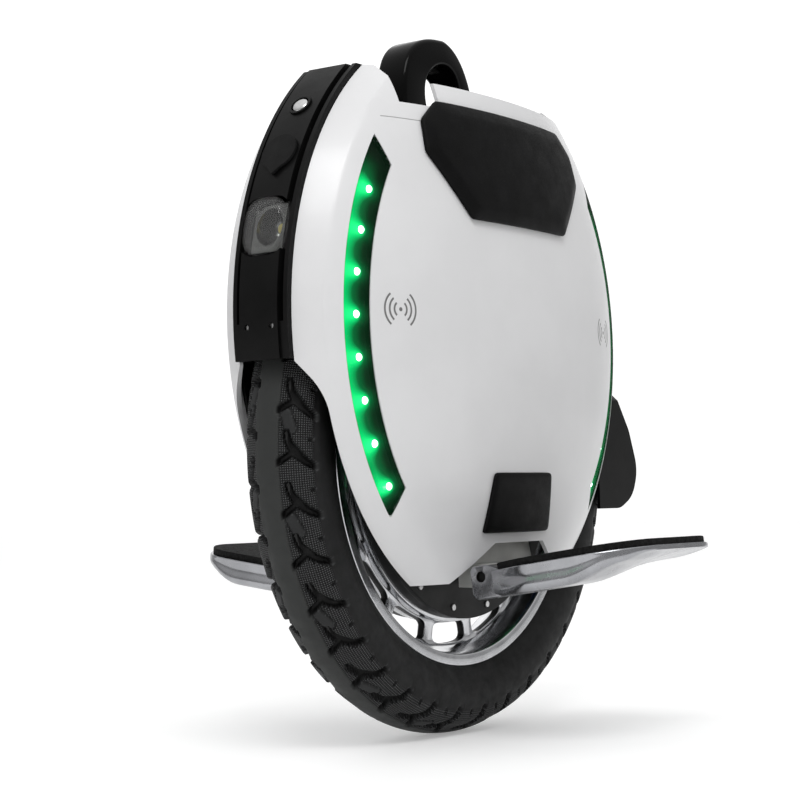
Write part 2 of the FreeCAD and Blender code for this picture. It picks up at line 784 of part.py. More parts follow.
def make_shells():
    wide = ("-reach", "reach")
    outside = dome_blank("shell_outside", 0, value("crease_depth"), 0)
    inside = dome_blank("shell_inside", value("shell_wall"), value("crease_back"), value("overrun"))
    flange_plate = box("shell_flange_plate", wide, ("throat_y", "throat_y + throat_flange"),
                       ("shell_bottom", "throat_high"))
    flange_hole = drum("shell_flange_hole", "dome_length - throat_flange_width",
                       "dome_height - throat_flange_width")
    flange = cut("shell_flange", common("shell_flange_disc", outside, flange_plate), flange_hole)
    skin = fuse("shell_skin", cut("shell_walls", outside, inside), flange)
    throat_blank = prism("shell_throat_blank", "YZ", [
        ("0", "0 - overrun"), ("throat_y", "0 - overrun"), ("throat_y", "throat_low"),
        ("rim_y", "throat_high"), ("0", "throat_high"),
    ], "-dome_length - overrun", "dome_length + overrun")

    def shoulder(edge):
        place = edge.CenterOfMass - Vector(0, value("throat_y"), value("throat_low"))
        return upright(edge, Vector(1, 0, 0)) and abs(place.y) + abs(place.z) < value("seat_gap")

    throat = rounded("shell_throat", throat_blank, "throat_round", shoulder)
    top = box("shell_top_cut", ("-hood_x", "hood_x"), wide, ("shell_top", "reach"))
    hood = box("shell_hood_cut", wide, wide, ("hood_top", "reach"))
    notch = box("shell_notch", ("notch_rear", "hood_x"), wide, ("notch_bottom", "reach"))
    bottom = box("shell_bottom_cut", wide, wide, ("-overrun", "shell_bottom"))
    recess = prism("shell_recess", "XZ", [
        ("0 - recess_low_half - pedal_shift", "shell_bottom"),
        ("recess_low_half - pedal_shift", "shell_bottom"),
        ("recess_top_half - pedal_shift", "recess_top"),
        ("0 - recess_top_half - pedal_shift", "recess_top"),
    ], "0", "reach")
    bars = [bar_outline("front_bar_slot", "seat_gap"), bar_outline("rear_bar_slot", "seat_gap", True)]
    shell = cut("left_shell_solid", skin, throat, top, hood, notch, bottom, recess, *bars)
    node(shell, "left_shell")
    node(mirror("right_shell_solid", shell), "right_shell")


def layer(name, low, high):
    """The space between two surfaces that follow the dome."""
    return cut(name, dome(name + "_high", high), dome(name + "_low", low))


def make_pads():
    def outer(thickness):
        sizes = [value(f"{name} + {thickness}") for name in ("dome_length", "dome_bulge", "dome_height")]
        centre = Vector(0, value("rim_y"), value("dome_centre"))

        def wanted(edge):
            place = edge.valueAt((edge.FirstParameter + edge.LastParameter) / 2) - centre
            return abs(sum((p / size) ** 2 for p, size in zip(place, sizes)) - 1) < 1e-3
        return wanted

    knee_blank = common("left_knee_pad_blank", layer("knee_layer", "seat_gap", "knee_pad_thickness"), prism(
        "knee_shape", "XZ", [
            ("0 - knee_top_half", "knee_top"), ("knee_top_half", "knee_top"),
            ("knee_shoulder_half", "knee_shoulder"), ("knee_waist_half", "knee_waist"),
            ("knee_bottom_half", "knee_bottom"), ("0 - knee_bottom_half", "knee_bottom"),
            ("0 - knee_waist_half", "knee_waist"), ("0 - knee_shoulder_half", "knee_shoulder"),
        ], "rim_y", "rim_y + dome_bulge + overrun"))
    knee = rounded("left_knee_pad_solid", knee_blank, "knee_pad_round", outer("knee_pad_thickness"))
    node(knee, "left_knee_pad")
    node(mirror("right_knee_pad_solid", knee), "right_knee_pad")
    shape = rounded("low_pad_rounded", prism("low_pad_shape", "XZ", [
        ("0 - low_pad_top_half", "low_pad_top"), ("0 - low_pad_bottom_half", "low_pad_bottom"),
        ("low_pad_bottom_half", "low_pad_bottom"), ("low_pad_top_half", "low_pad_top"),
    ], "rim_y", "rim_y + dome_bulge + overrun"), "low_pad_corner",
    lambda edge: upright(edge, Vector(0, 1, 0)))
    pad_blank = common("left_low_pad_blank", layer("low_pad_layer", "seat_gap", "low_pad_thickness"), shape)
    pad = rounded("left_low_pad_solid", pad_blank, "low_pad_round", outer("low_pad_thickness"))
    node(pad, "left_ankle_pad")
    node(mirror("right_low_pad_solid", pad), "right_ankle_pad")


def make_light_bars():
    middle = "(bar_length - bar_width / 2)"
    middle_z = "(bar_height - bar_width / 2)"
    board_low = "(0 - bar_lens_thickness - seat_gap - led_rise - led_board_thickness)"
    board_high = "(0 - bar_lens_thickness - seat_gap - led_rise)"
    lens = common("left_front_bar_lens", layer("bar_lens_layer", "(0 - bar_lens_thickness)", "0"),
                  bar_outline("bar_lens_shape", "0"))
    board = common("left_front_bar_board", layer("bar_board_layer", board_low, board_high),
                   bar_outline("bar_board_shape", "(0 - led_board_margin)"))
    chips = []
    for i in range(int(value("led_count"))):
        step = f"led_pitch * {i - (value('led_count') - 1) / 2}"
        x = f"{middle} * sqrt(1 - ({step} / {middle_z})^2)"
        share = f"1 - ({x} / dome_length)^2 - ({step} / dome_height)^2"
        surface = f"rim_y + dome_bulge * sqrt({share})"
        chips.append(rod_along_y(
            f"led_{i}", "led_radius", ("rim_y", surface), x, f"dome_centre + {step}"))
    chip_layer = layer("led_layer", board_high, "(0 - bar_lens_thickness - seat_gap)")
    lit = fuse("left_front_bar_strip", board, common("led_chips", group("led_rods", chips), chip_layer))
    for label, thing in (("bar_lens", lens), ("led_strip", lit)):
        rear = mirror(label + "_rear_left", thing, Vector(1, 0, 0))
        node(thing, "left_front_" + label)
        node(rear, "left_rear_" + label)
        node(mirror(label + "_front_right", thing), "right_front_" + label)
        node(mirror(label + "_rear_right", rear), "right_rear_" + label)


# Front and rear panels, with the lamps

SLAB_X = "(dome_length + slab_rise)"
SLAB_Z = "(dome_height + slab_rise)"


def on_slab(height):
    """The raised slab's place along X at a height, and the rise of its normal in degrees."""
    rise = value(f"{height} - dome_centre")
    across = value(SLAB_X)
    tall = value(SLAB_Z)
    x = across * math.sqrt(1 - (rise / tall) ** 2)
    angle = math.degrees(math.atan2(rise / tall ** 2, x / across ** 2))
    return f"{SLAB_X} * sqrt(1 - (({height} - dome_centre) / {SLAB_Z})^2)", angle


def rod_on_slab(name, radius, height, start, end):
    """A round rod along the slab's normal, between two distances out from its surface."""
    x, angle = on_slab(height)
    thing = doc.addObject("Part::Cylinder", name)
    bind(thing, Radius=radius, Height=f"({end}) - ({start})")
    turn = Rotation(Vector(0, 1, 0), 90 - angle)
    return at(thing, f"{x} + ({start}) * cos({angle})", "0", f"{height} + ({start}) * sin({angle})", turn)


def grown_drum(name, grow, half="reach"):
    return drum(name, f"dome_length + {grow}", f"dome_height + {grow}", (f"-({half})", half))


def lamp_window(name, inset):
    """The lamp's outline from the front, with rounded corners."""
    block = box(name + "_block", ("0", "reach"), (f"{inset} - ridge_inner", f"ridge_inner - {inset}"),
                (f"lamp_bottom + {inset}", f"lamp_top - {inset}"))
    return rounded(name, block, f"lamp_corner - {inset}", lambda edge: upright(edge, Vector(1, 0, 0)))


def panel_blank(name):
    """The panel's skin: a band between the shells with a raised slab down its middle."""
    ahead = ("0", "reach")
    wide = ("-reach", "reach")
    ridges = cut(name + "_ridges", grown_drum(name + "_ridge_oval", "ridge_rise", "panel_half_width"),
                 box(name + "_channel", wide, ("-ridge_inner", "ridge_inner"),
                     ("panel_bottom + apron_rise", "reach")))
    ovals = fuse(name + "_ovals", grown_drum(name + "_slab", "slab_rise", "slab_half_width"),
                 grown_drum(name + "_band", "0", "panel_half_width"), ridges)
    outside = common(name + "_outside", ovals, box(name + "_box", ahead, wide, ("panel_bottom",
                                                                                "hood_top")))
    hollow = grown_drum(name + "_hollow", "(slab_rise - panel_wall)", "slab_half_width - panel_wall")
    skin = cut(name + "_skin", outside, grown_drum(name + "_inner_oval", "(0 - panel_wall)"), hollow)
    roof = common(name + "_roof", outside,
                  box(name + "_roof_box", ("hood_x", "reach"), ("-panel_half_width", "panel_half_width"),
                      ("hood_top - panel_roof", "hood_top")))
    wheel = rod_along_y(name + "_wheel", "tyre_radius + wheel_clearance", ("-overrun", "overrun"))
    lamp_slot = cut(name + "_lamp_slot", lamp_window(name + "_lamp_window", "0"),
                    grown_drum(name + "_lamp_oval", "0"))
    opening = box(name + "_lamp_opening", ahead, ("-lamp_half_width", "lamp_half_width"),
                  ("lamp_bottom + panel_wall", "lamp_top - panel_wall"))
    bores = []
    for side in ("-", ""):
        bores.append(rod_along_x(name + f"_screw_bore{side or '+'}", "panel_screw_radius + seat_gap", ahead,
                                 f"{side}panel_screw_spread", "panel_screw_height"))
    return cut(name + "_blank", fuse(name + "_shell", skin, roof), wheel, lamp_slot, opening, *bores)


def make_panels():
    front = cut("front_panel_solid", panel_blank("front_panel"),
                rod_on_slab("button_hole", "button_ring_radius + seat_gap", "button_height",
                            "-overrun", "overrun"),
                rod_on_slab("port_hole", "port_radius + seat_gap", "port_height", "-overrun", "overrun"))
    node(front, "front_panel")
    node(mirror("rear_panel_solid", panel_blank("rear_panel"), Vector(1, 0, 0)), "rear_panel")
    screw_x = f"{SLAB_X} * sqrt(1 - ((panel_screw_height - dome_centre) / {SLAB_Z})^2)"
    screws = [
        rod_along_x(f"panel_screw{side or '+'}", "panel_screw_radius",
                    (f"{screw_x} - panel_screw_length", f"{screw_x} - panel_screw_radius"),
                    f"{side}panel_screw_spread", "panel_screw_height")
        for side in ("-", "")
    ]
    near = group("front_panel_screws", screws)
    node(group("panel_screw_set", [near, mirror("rear_panel_screws", near, Vector(1, 0, 0))]),
         "panel_screws")


def make_lamps():
    ahead = ("0", "reach")
    lens = cut("lamp_lens",
               common("lamp_lens_block", grown_drum("lamp_lens_oval", "slab_rise", "slab_half_width"),
                      lamp_window("lamp_lens_window", "seat_gap")),
               grown_drum("lamp_lens_inner", "(slab_rise - lens_wall)", "slab_half_width - lens_wall"),
               grown_drum("lamp_lens_back", "seat_gap"))
    node(lens, "headlight_lens")
    node(mirror("tail_lens", lens, Vector(1, 0, 0)), "tail_light_lens")
    lamp_low = "lamp_bottom + panel_wall + seat_gap"
    lamp_high = "lamp_top - panel_wall - seat_gap"
    middle = "((lamp_bottom + lamp_top) / 2)"
    lamp_x = f"(dome_length * sqrt(1 - (({middle} - dome_centre) / dome_height)^2))"
    block = common("lamp_block", grown_drum("lamp_block_oval", "0"),
                   box("lamp_block_box", (f"{lamp_x} - lamp_depth", "reach"),
                       ("seat_gap - lamp_half_width", "lamp_half_width - seat_gap"), (lamp_low, lamp_high)))
    bowl = ellipsoid("lamp_bowl", "lamp_depth - lens_wall", "lamp_bowl_radius",
                     "lamp_bowl_radius + lens_wall",
                     lamp_x, "0", middle)
    reflector = cut("headlight_bowl", block, bowl)
    node(reflector, "headlight_reflector")
    node(mirror("tail_bowl", reflector, Vector(1, 0, 0)), "tail_light_reflector")
    chip_foot = f"{lamp_x} - lamp_depth + lens_wall + seat_gap + lamp_chip_rise"
    chip = rod_along_x("headlight_chip", "lamp_chip_radius",
                       (chip_foot, chip_foot + " + lamp_chip_rise"), "0", middle)
    node(chip, "headlight_led")
    node(mirror("tail_chip", chip, Vector(1, 0, 0)), "tail_light_led")


def make_button_and_port():
    ring_low = "button_rise - button_length - button_travel - moving_gap"
    ring = cut("button_ring_tube",
               rod_on_slab("button_ring_blank", "button_ring_radius", "button_height", ring_low,
                           "button_ring_rise"),
               rod_on_slab("button_ring_bore", "button_radius + moving_gap", "button_height", "-overrun",
                           "overrun"))
    node(ring, "power_button_ring")
    node(rod_on_slab("power_switch_can", "button_ring_radius", "button_height",
                     ring_low + " - switch_length", ring_low), "power_switch")
    node(rod_on_slab("button_cap", "button_radius", "button_height", "button_rise - button_length",
                     "button_rise"), "power_button")

    socket = cut("port_body",
                 rod_on_slab("port_blank", "port_radius", "port_height", "-port_depth - port_recess",
                             "-port_lip"),
                 rod_on_slab("port_mouth", "cap_plug_radius + moving_gap", "port_height", "-port_recess",
                             "overrun"),
                 rod_on_slab("port_bore", "port_bore_radius", "port_height",
                             "panel_wall - port_depth - port_recess",
                             "overrun"))
    node(socket, "charge_socket")
    x, angle = on_slab("port_height")
    tab = doc.addObject("Part::Box", "cap_tab")
    bind(tab, Length="cap_tab_side", Width="cap_tab_side", Height="cap_thickness")
    down = Rotation(Vector(0, 1, 0), 90 - angle)
    tab.Placement = Placement(Vector(), down.multiply(Rotation(Vector(0, 0, 1), -45)))
    at(tab, f"{x} + cap_lift * cos({angle}) + cap_tab_drop_share * cap_tab_side * sin({angle})", "0",
       f"port_height + cap_lift * sin({angle}) - cap_tab_drop_share * cap_tab_side * cos({angle})")
    cap = fuse("cap_solid",
               rod_on_slab("cap_disc", "cap_radius", "port_height", "cap_lift", "cap_lift + cap_thickness"),
               rod_on_slab("cap_plug", "cap_plug_radius", "port_height", "-cap_plug_length", "cap_lift"),
               tab)
    node(cap, "charge_cap")


# The mudguard behind the wheel

def make_mudguard():
    def lobe(name, inset, half):
        shape = prism(name, "XZ", [
            (f"{inset} + {inset} - guard_front_x", f"guard_bottom + {inset}"),
            (f"{inset} + {inset} - guard_front_x", "guard_top"),
            (f"0 - guard_top_x + {inset}", "guard_top"),
            (f"0 - guard_knee_x + {inset}", "guard_knee"),
            (f"0 - guard_bulge_x + {inset}", "guard_bulge"),
            (f"0 - guard_tail_x + {inset}", f"guard_tail + {inset}"),
            (f"0 - guard_bottom_x + {inset}", f"guard_bottom + {inset}"),
        ], f"-({half})", half)

        def along(edge):
            place = edge.CenterOfMass
            return upright(edge, Vector(0, 1, 0)) and place.x < -value("guard_top_x + guard_wall")

        return rounded(name + "_rounded", shape, "guard_corner", along)

    outside = lobe("guard_outside", "0", "guard_half_width")
    inside = lobe("guard_inside", "guard_wall", "guard_half_width - guard_wall")
    wheel = rod_along_y("guard_wheel", "tyre_radius + wheel_clearance",
                        ("guard_wall - guard_half_width", "guard_half_width - guard_wall"))
    throat = prism("guard_throat", "YZ", [
        ("0 - throat_y + seat_gap", "0"), ("throat_y - seat_gap", "0"),
        ("throat_y - seat_gap", "throat_low"), ("rim_y - seat_gap", "throat_high"),
        ("rim_y - seat_gap", "throat_high + overrun"), ("0 - rim_y + seat_gap", "throat_high + overrun"),
        ("0 - rim_y + seat_gap", "throat_high"), ("0 - throat_y + seat_gap", "throat_low"),
    ], "0 - reach", "0")
    node(common("guard_solid", cut("guard_skin", outside, inside, wheel), throat), "rear_mudguard")


# The hand well's floor and the lift handle

def make_handle():
    half = common("deck_half",
                  box("deck_plate", ("-hood_x", "hood_x"), ("0", "reach"),
                      ("deck_top - deck_thickness", "deck_top")),
                  dome("deck_dome", "(0 - shell_wall - seat_gap)"))
    node(fuse("deck_solid", half, mirror("deck_far_half", half)), "hand_well_floor")

    span = ("0 - handle_half_width - overrun", "handle_half_width + overrun")
    crown = rod_along_y("handle_crown", "handle_half_length", span, "handle_x", "handle_shoulder")
    legs = box("handle_legs", ("handle_x - handle_half_length", "handle_x + handle_half_length"), span,
               ("deck_top", "handle_shoulder"))
    above = box("handle_above", ("-reach", "reach"), ("-reach", "reach"), ("deck_top", "reach"))
    near = rod_along_z("handle_near", "handle_plan_radius", ("0", "reach"), "handle_x",
                       "handle_half_width - handle_plan_radius")
    far = rod_along_z("handle_far", "handle_plan_radius", ("0", "reach"), "handle_x",
                      "handle_plan_radius - handle_half_width")
    blank = common("handle_blank", fuse("handle_arch", crown, legs), above, near, far)
    eye = fuse("handle_eye_hole",
               rod_along_y("handle_eye", "handle_eye_radius", span, "handle_x", "handle_shoulder"),
               box("handle_eye_box", ("handle_x - handle_eye_radius", "handle_x + handle_eye_radius"), span,
                   ("deck_top + handle_foot", "handle_shoulder")))
    top = "handle_shoulder + handle_eye_radius"
    pocket = box("lift_button_pocket",
                 ("handle_x - lift_button_half_length - moving_gap",
                  "handle_x + lift_button_half_length + moving_gap"),
                 ("0 - lift_button_half_width - moving_gap", "lift_button_half_width + moving_gap"),
                 ("handle_shoulder", top + " + lift_button_depth"))
    def rim(edge):
        place = edge.CenterOfMass
        clear = abs(place.y) > value("lift_button_half_width + moving_gap")
        return clear and place.z > value("deck_top + handle_edge")

    arch = rounded("handle_arch_rounded", cut("handle_open", blank, eye), "handle_edge", rim)
    node(cut("handle_solid", arch, pocket), "lift_handle")
    node(box("lift_button_block",
             ("handle_x - lift_button_half_length", "handle_x + lift_button_half_length"),
             ("0 - lift_button_half_width", "lift_button_half_width"),
             (top + " - lift_button_rise", top + " + lift_button_depth - lift_button_travel - moving_gap")),
         "lift_button")


# Pedals on their hangers

def make_pedals():
    left_x = "0 - pedal_shift"
    plate_in = "well_half_width + hanger_gap"
    plate_out = plate_in + " + hanger_thickness"
    barrel_half = "(pedal_inner_half - knuckle_length - moving_gap)"
    low = "pivot_height - knuckle_radius"
    high = "pivot_height + knuckle_radius"
    plate = prism("hanger_plate", "XZ", [
        ("0 - hanger_top_half", "hanger_top"), ("0 - hanger_axle_half", "tyre_radius"),
        ("0 - pedal_shift - pedal_inner_half + knuckle_length + moving_gap", high),
        ("0 - pedal_shift - pedal_inner_half + knuckle_length + moving_gap", low),
        ("pedal_inner_half - knuckle_length - moving_gap - pedal_shift", low),
        ("pedal_inner_half - knuckle_length - moving_gap - pedal_shift", high),
        ("hanger_axle_half", "tyre_radius"), ("hanger_top_half", "hanger_top"),
    ], plate_in, plate_out)
    across = (f"{left_x} - {barrel_half}", f"{left_x} + {barrel_half}")
    arm = box("hanger_arm", across, (plate_in, "pivot_y"), (low, high))
    barrel = rod_along_x("hanger_barrel", "knuckle_radius", across, "pivot_y", "pivot_height")
    bore = rod_along_x("hanger_bore", "pin_radius + pin_gap", ("-reach", "reach"), "pivot_y",
                       "pivot_height")
    axle = rod_along_y("hanger_axle", "axle_radius + axle_running_gap", ("0", "reach"))
    hanger = cut("left_hanger_solid", fuse("hanger_body", plate, arm, barrel), bore, axle)
    node(hanger, "left_hanger")
    node(mirror("right_hanger_solid", hanger), "right_hanger")
    pin = rod_along_x("left_pin_rod", "pin_radius",
                      (f"{left_x} - pedal_inner_half + pin_radius",
                       f"{left_x} + pedal_inner_half - pin_radius"),
                      "pivot_y", "pivot_height")
    node(pin, "left_pedal_pin")
    node(mirror("right_pin_rod", pin), "right_pedal_pin")

    def planform(name, inset, z):
        shape = prism(name, "XY", [
            (f"0 - pedal_inner_half + {inset}", f"pedal_inner_y + {inset}"),
            (f"pedal_inner_half - {inset}", f"pedal_inner_y + {inset}"),
            (f"pedal_wide_half - {inset}", "pedal_wide_y"),
            (f"pedal_outer_half - {inset}", f"pedal_outer_y - {inset}"),
            (f"0 - pedal_outer_half + {inset}", f"pedal_outer_y - {inset}"),
            (f"0 - pedal_wide_half + {inset}", "pedal_wide_y"),
        ], *z)
        reach = value("pedal_outer_y - pedal_corner")
        corners = rounded(name + "_corners", shape, f"pedal_corner - {inset}",
                          lambda edge: upright(edge, Vector(0, 0, 1)) and edge.CenterOfMass.y > reach)
        return rounded(name + "_waist", corners, "pedal_corner",
                       lambda edge: upright(edge, Vector(0, 0, 1))
                       and abs(edge.CenterOfMass.y - value("pedal_wide_y")) < value("grip_inset"))

    side_blank = prism("pedal_side_blank", "YZ", [
        ("0", "pedal_top"), ("0", "0 - pedal_bottom"), ("pedal_taper_y", "0 - pedal_bottom"),
        ("pedal_thin_y", "pedal_top - pedal_thin"),
        ("pedal_outer_y", "pedal_top - pedal_edge"), ("pedal_outer_y", "pedal_top"),
    ], "0 - reach", "reach")

    def underside(edge):
        along = edge.CenterOfMass.y
        return (upright(edge, Vector(1, 0, 0)) and edge.CenterOfMass.z < value("pedal_top - pedal_edge")
                and value("pedal_inner_y") < along < value("pedal_outer_y - pedal_edge"))

    side = rounded("pedal_side", side_blank, "pedal_hollow", underside)
    deck = common("pedal_deck", planform("pedal_plan", "0", ("0 - reach", "reach")), side)
    parts = [deck]
    for side_name, start, end in (("front", "pedal_inner_half - knuckle_length", "pedal_inner_half"),
                                  ("rear", "0 - pedal_inner_half",
                                   "0 - pedal_inner_half + knuckle_length")):
        parts.append(rod_along_x(f"pedal_{side_name}_knuckle", "knuckle_radius", (start, end), "0", "0"))
        parts.append(box(f"pedal_{side_name}_web", (start, end), ("0", "pedal_inner_y + pedal_web_lap"),
                         ("0 - pedal_bottom", "pedal_top")))
    pin_bore = rod_along_x("pedal_pin_bore", "pin_radius + pin_gap", ("-reach", "reach"), "0", "0")
    flat = cut("pedal_flat", fuse("pedal_body", *parts), pin_bore)
    grip = planform("grip_plan", "grip_inset", ("pedal_top", "pedal_top + grip_thickness"))
    for label, thing in (("pedal", flat), ("grip", grip)):
        tilted = group(label + "_tilted", [thing])
        tilted.Placement = Placement(Vector(), Rotation(Vector(1, 0, 0), value("pedal_tilt")))
        at(tilted, left_x, "pivot_y", "pivot_height")
        tilted.setExpression("Placement.Rotation.Angle", cell("pedal_tilt"))
        node(tilted, "left_" + label)
        node(mirror("right_" + label + "_solid", tilted), "right_" + label)


# Inside the shells

def make_inside():
    wall = "well_half_width + seat_gap"
    battery = box("left_battery_block", ("battery_front", "battery_front + battery_length"),
                  (wall, wall + " + battery_thickness"),
                  ("battery_bottom", "battery_bottom + battery_height"))
    pack = group("left_batteries", [battery, mirror("left_rear_battery", battery, Vector(1, 0, 0))])
    node(pack, "left_battery_packs")
    node(mirror("right_batteries", pack), "right_battery_packs")

    floor = "control_floor"
    unit = box("control_block", ("-control_half_length", "control_half_length"),
               ("-control_half_width", "control_half_width"), (floor, floor + " + control_height"))
    pitch = "((control_half_length + control_half_length) / fin_count)"
    slots = []
    for i in range(int(value("fin_count"))):
        start = f"{pitch} * {i} + ({pitch} - fin_gap) / 2 - control_half_length"
        slots.append(box(f"control_slot_{i}", (start, start + " + fin_gap"), ("-reach", "reach"),
                         (floor + " + control_height - fin_depth", "reach")))
    node(cut("control_unit_block", unit, *slots), "control_unit")

    speakers = []
    for side in ("-", ""):
        speakers.append(rod_along_y(f"speaker{side or '+'}", "speaker_radius",
                                    (wall, wall + " + speaker_depth"), f"{side}speaker_x",
                                    "speaker_height"))
    near = group("left_speakers", speakers)
    node(group("speaker_set", [near, mirror("right_speakers", near)]), "speakers")


def make_valve():
    node(rod_along_x("valve_rod", "valve_radius", ("valve_inner_radius", "valve_outer_radius"), "0",
                     "tyre_radius"), "tyre_valve")


doc.recompute()
make_tyre()
make_rim()
make_valve()
make_motor()
make_wheel_well()
make_shells()
make_pads()
make_light_bars()
make_panels()
make_lamps()
make_button_and_port()
make_mudguard()
make_handle()
make_pedals()
make_inside()
doc.recompute()

for thing in doc.Objects:
    if "Invalid" in thing.State or "Error" in thing.State:
        raise RuntimeError(f"{thing.Name} did not build: {thing.State}")
os.makedirs("parts", exist_ok=True)
for thing in NODES:
    shape = thing.Shape
    if shape.isNull() or not shape.isValid():
        raise RuntimeError(f"{thing.Label} has no valid shape")
    box_of = shape.BoundBox
    print(f"{thing.Label}: {len(shape.Solids)} solids, {shape.Volume / 1000:.1f} cm3, "
          f"x {box_of.XMin:.1f} {box_of.XMax:.1f}, y {box_of.YMin:.1f} {box_of.YMax:.1f}, "
          f"z {box_of.ZMin:.1f} {box_of.ZMax:.1f}")
    shape.exportStep(f"parts/{thing.Label}.step")
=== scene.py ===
# %% [markdown]
# # An electric unicycle, dressed for its portrait
#
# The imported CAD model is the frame: every length is in metres, +X is forward, +Y is the rider's left and
# +Z is up. CAD gives true sizes and places, but its corners are knife sharp and its faces are bare. This
# script keeps the CAD shapes that are right and rounds their corners, builds the pieces that need finer
# relief (tread, pads, light bars, rim, pedals, handle), and paints everything with procedural materials.

# %% Load the frame
import json
import math
from functools import partial

import bmesh
import bpy
import numpy as np
from mathutils import Matrix, Vector


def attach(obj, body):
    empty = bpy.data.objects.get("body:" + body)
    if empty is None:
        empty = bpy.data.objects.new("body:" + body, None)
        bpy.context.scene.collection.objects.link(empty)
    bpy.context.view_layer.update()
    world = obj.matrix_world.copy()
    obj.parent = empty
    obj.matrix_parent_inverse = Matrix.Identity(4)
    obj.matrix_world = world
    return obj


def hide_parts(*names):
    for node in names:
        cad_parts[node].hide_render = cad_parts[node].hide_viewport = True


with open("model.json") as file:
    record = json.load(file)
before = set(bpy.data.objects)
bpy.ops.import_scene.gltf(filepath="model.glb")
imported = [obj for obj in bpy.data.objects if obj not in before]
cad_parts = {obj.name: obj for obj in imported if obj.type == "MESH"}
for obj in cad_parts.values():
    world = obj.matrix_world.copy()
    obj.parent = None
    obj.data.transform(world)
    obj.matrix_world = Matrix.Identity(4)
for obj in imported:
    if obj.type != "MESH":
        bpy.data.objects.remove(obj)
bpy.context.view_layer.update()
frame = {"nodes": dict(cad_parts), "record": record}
nodes = frame["nodes"]
scene = bpy.context.scene
scene.view_settings.view_transform = "Standard"
scene.view_settings.look = "None"
MM = 0.001
print("CAD nodes:", len(nodes))

# %% [markdown]
# ## The camera
#
# A photograph tells where its camera stood, once some sizes of the object are known. The view could be
# set by eye, but one degree off already shows, so it was fitted to the outlines of the tyre, the rim's lip
# and the shells. In the photograph the body is pitched a little nose down. Here the body stands upright,
# and the camera is turned about the axle by the same angle.

# %% Make the camera
AXLE_Z = 233.0
AXLE = Vector((0, 0, AXLE_Z * MM))
PITCH = Matrix.Rotation(math.radians(-2.5), 3, "Y")
AZIMUTH, ELEVATION, ROLL = (math.radians(v) for v in (124.341, -5.515, -0.049))
AIM, STAND_OFF = Vector((0, 0, 0.290)), 1.67252
# The photograph's width, focal length and shift in pixels, and the sensor's width in mm.
PIXELS, FOCAL, SHIFT, SENSOR = 800, 1968.21, (-40.18, -12.81), 36


def make_camera():
    back = Vector((math.sin(AZIMUTH) * math.cos(ELEVATION), -math.cos(AZIMUTH) * math.cos(ELEVATION),
                   math.sin(ELEVATION)))
    level = Vector((math.cos(AZIMUTH), math.sin(AZIMUTH), 0))
    above = back.cross(level)
    right = level * math.cos(ROLL) + above * math.sin(ROLL)
    up = above * math.cos(ROLL) - level * math.sin(ROLL)
    place = AIM + back * STAND_OFF
    axes = Matrix((PITCH @ right, PITCH @ up, PITCH @ back)).transposed()
    data = bpy.data.cameras.new("camera")
    data.lens = SENSOR * FOCAL / PIXELS
    data.shift_x, data.shift_y = (v / PIXELS for v in SHIFT)
    camera = bpy.data.objects.new("camera", data)
    camera.matrix_world = Matrix.Translation(PITCH @ (place - AXLE) + AXLE) @ axes.to_4x4()
    scene.collection.objects.link(camera)
    scene.camera = camera
    print("camera: lens", round(data.lens, 1), "mm")


make_camera()

# %% [markdown]
# ## Shared effects
#
# No real surface is one flat colour with one gloss. Three effects come back in every finish here: a colour
# mottled in soft clouds, a roughness that wanders, and a fine grain pressed into the skin. They could be
# built anew in each material. As node groups they are built once, and a material only states their inputs.

# %% Helpers for node trees


def wire(tree, value, socket):
    """Links an output to a socket, or sets the socket to a plain value."""
    if hasattr(value, "is_output"):
        tree.links.new(value, socket)
    else:
        socket.default_value = value


def new_node(tree, kind, settings=None, **inputs):
    """A shader node with its settings. Its inputs are wired by name, an underscore standing for a space."""
    n = tree.nodes.new("ShaderNode" + kind)
    for label, v in (settings or {}).items():
        setattr(n, label, v)
    for label, v in inputs.items():
        wire(tree, v, n.inputs[label.replace("_", " ")])
    return n


def noise(tree, vector, scale, detail=4.0, roughness=0.55):
    n = new_node(tree, "TexNoise", Vector=vector, Scale=scale, Detail=detail, Roughness=roughness)
    return n.outputs["Fac"]


def math_node(tree, operation, *values):
    n = new_node(tree, "Math", {"operation": operation})
    for i, v in enumerate(values):
        wire(tree, v, n.inputs[i])
    return n.outputs[0]


def map_range(tree, value, low, high, to_low=0.0, to_high=1.0, kind="LINEAR"):
    n = new_node(tree, "MapRange", {"interpolation_type": kind}, Value=value, From_Min=low, From_Max=high,
                 To_Min=to_low, To_Max=to_high)
    return n.outputs["Result"]


def mix_colours(tree, mask, below, above):
    return new_node(tree, "Mix", {"data_type": "RGBA"}, Factor=mask, A=below, B=above).outputs["Result"]


# %% Build the three groups
VECTOR, COLOUR, FLOAT = "NodeSocketVector", "NodeSocketColor", "NodeSocketFloat"


def new_group(name, inputs, output, kind):
    """An empty group: the tree, what it is given, and the socket of its one result."""
    group = bpy.data.node_groups.new(name, "ShaderNodeTree")
    for label, socket_kind, default in inputs:
        socket = group.interface.new_socket(label, in_out="INPUT", socket_type=socket_kind)
        if default is not None:
            socket.default_value = default
    group.interface.new_socket(output, in_out="OUTPUT", socket_type=kind)
    return group, group.nodes.new("NodeGroupInput").outputs, group.nodes.new("NodeGroupOutput").inputs[output]


def mottle_group():
    """Colour: two shades of one colour in soft clouds."""
    tree, given, result = new_group("mottled_colour", [
        ("Vector", VECTOR, None), ("Light", COLOUR, None), ("Dark", COLOUR, None), ("Scale", FLOAT, 30.0)],
        "Colour", COLOUR)
    cloud = map_range(tree, noise(tree, given["Vector"], given["Scale"]), 0.35, 0.65)
    wire(tree, mix_colours(tree, cloud, given["Light"], given["Dark"]), result)
    return tree


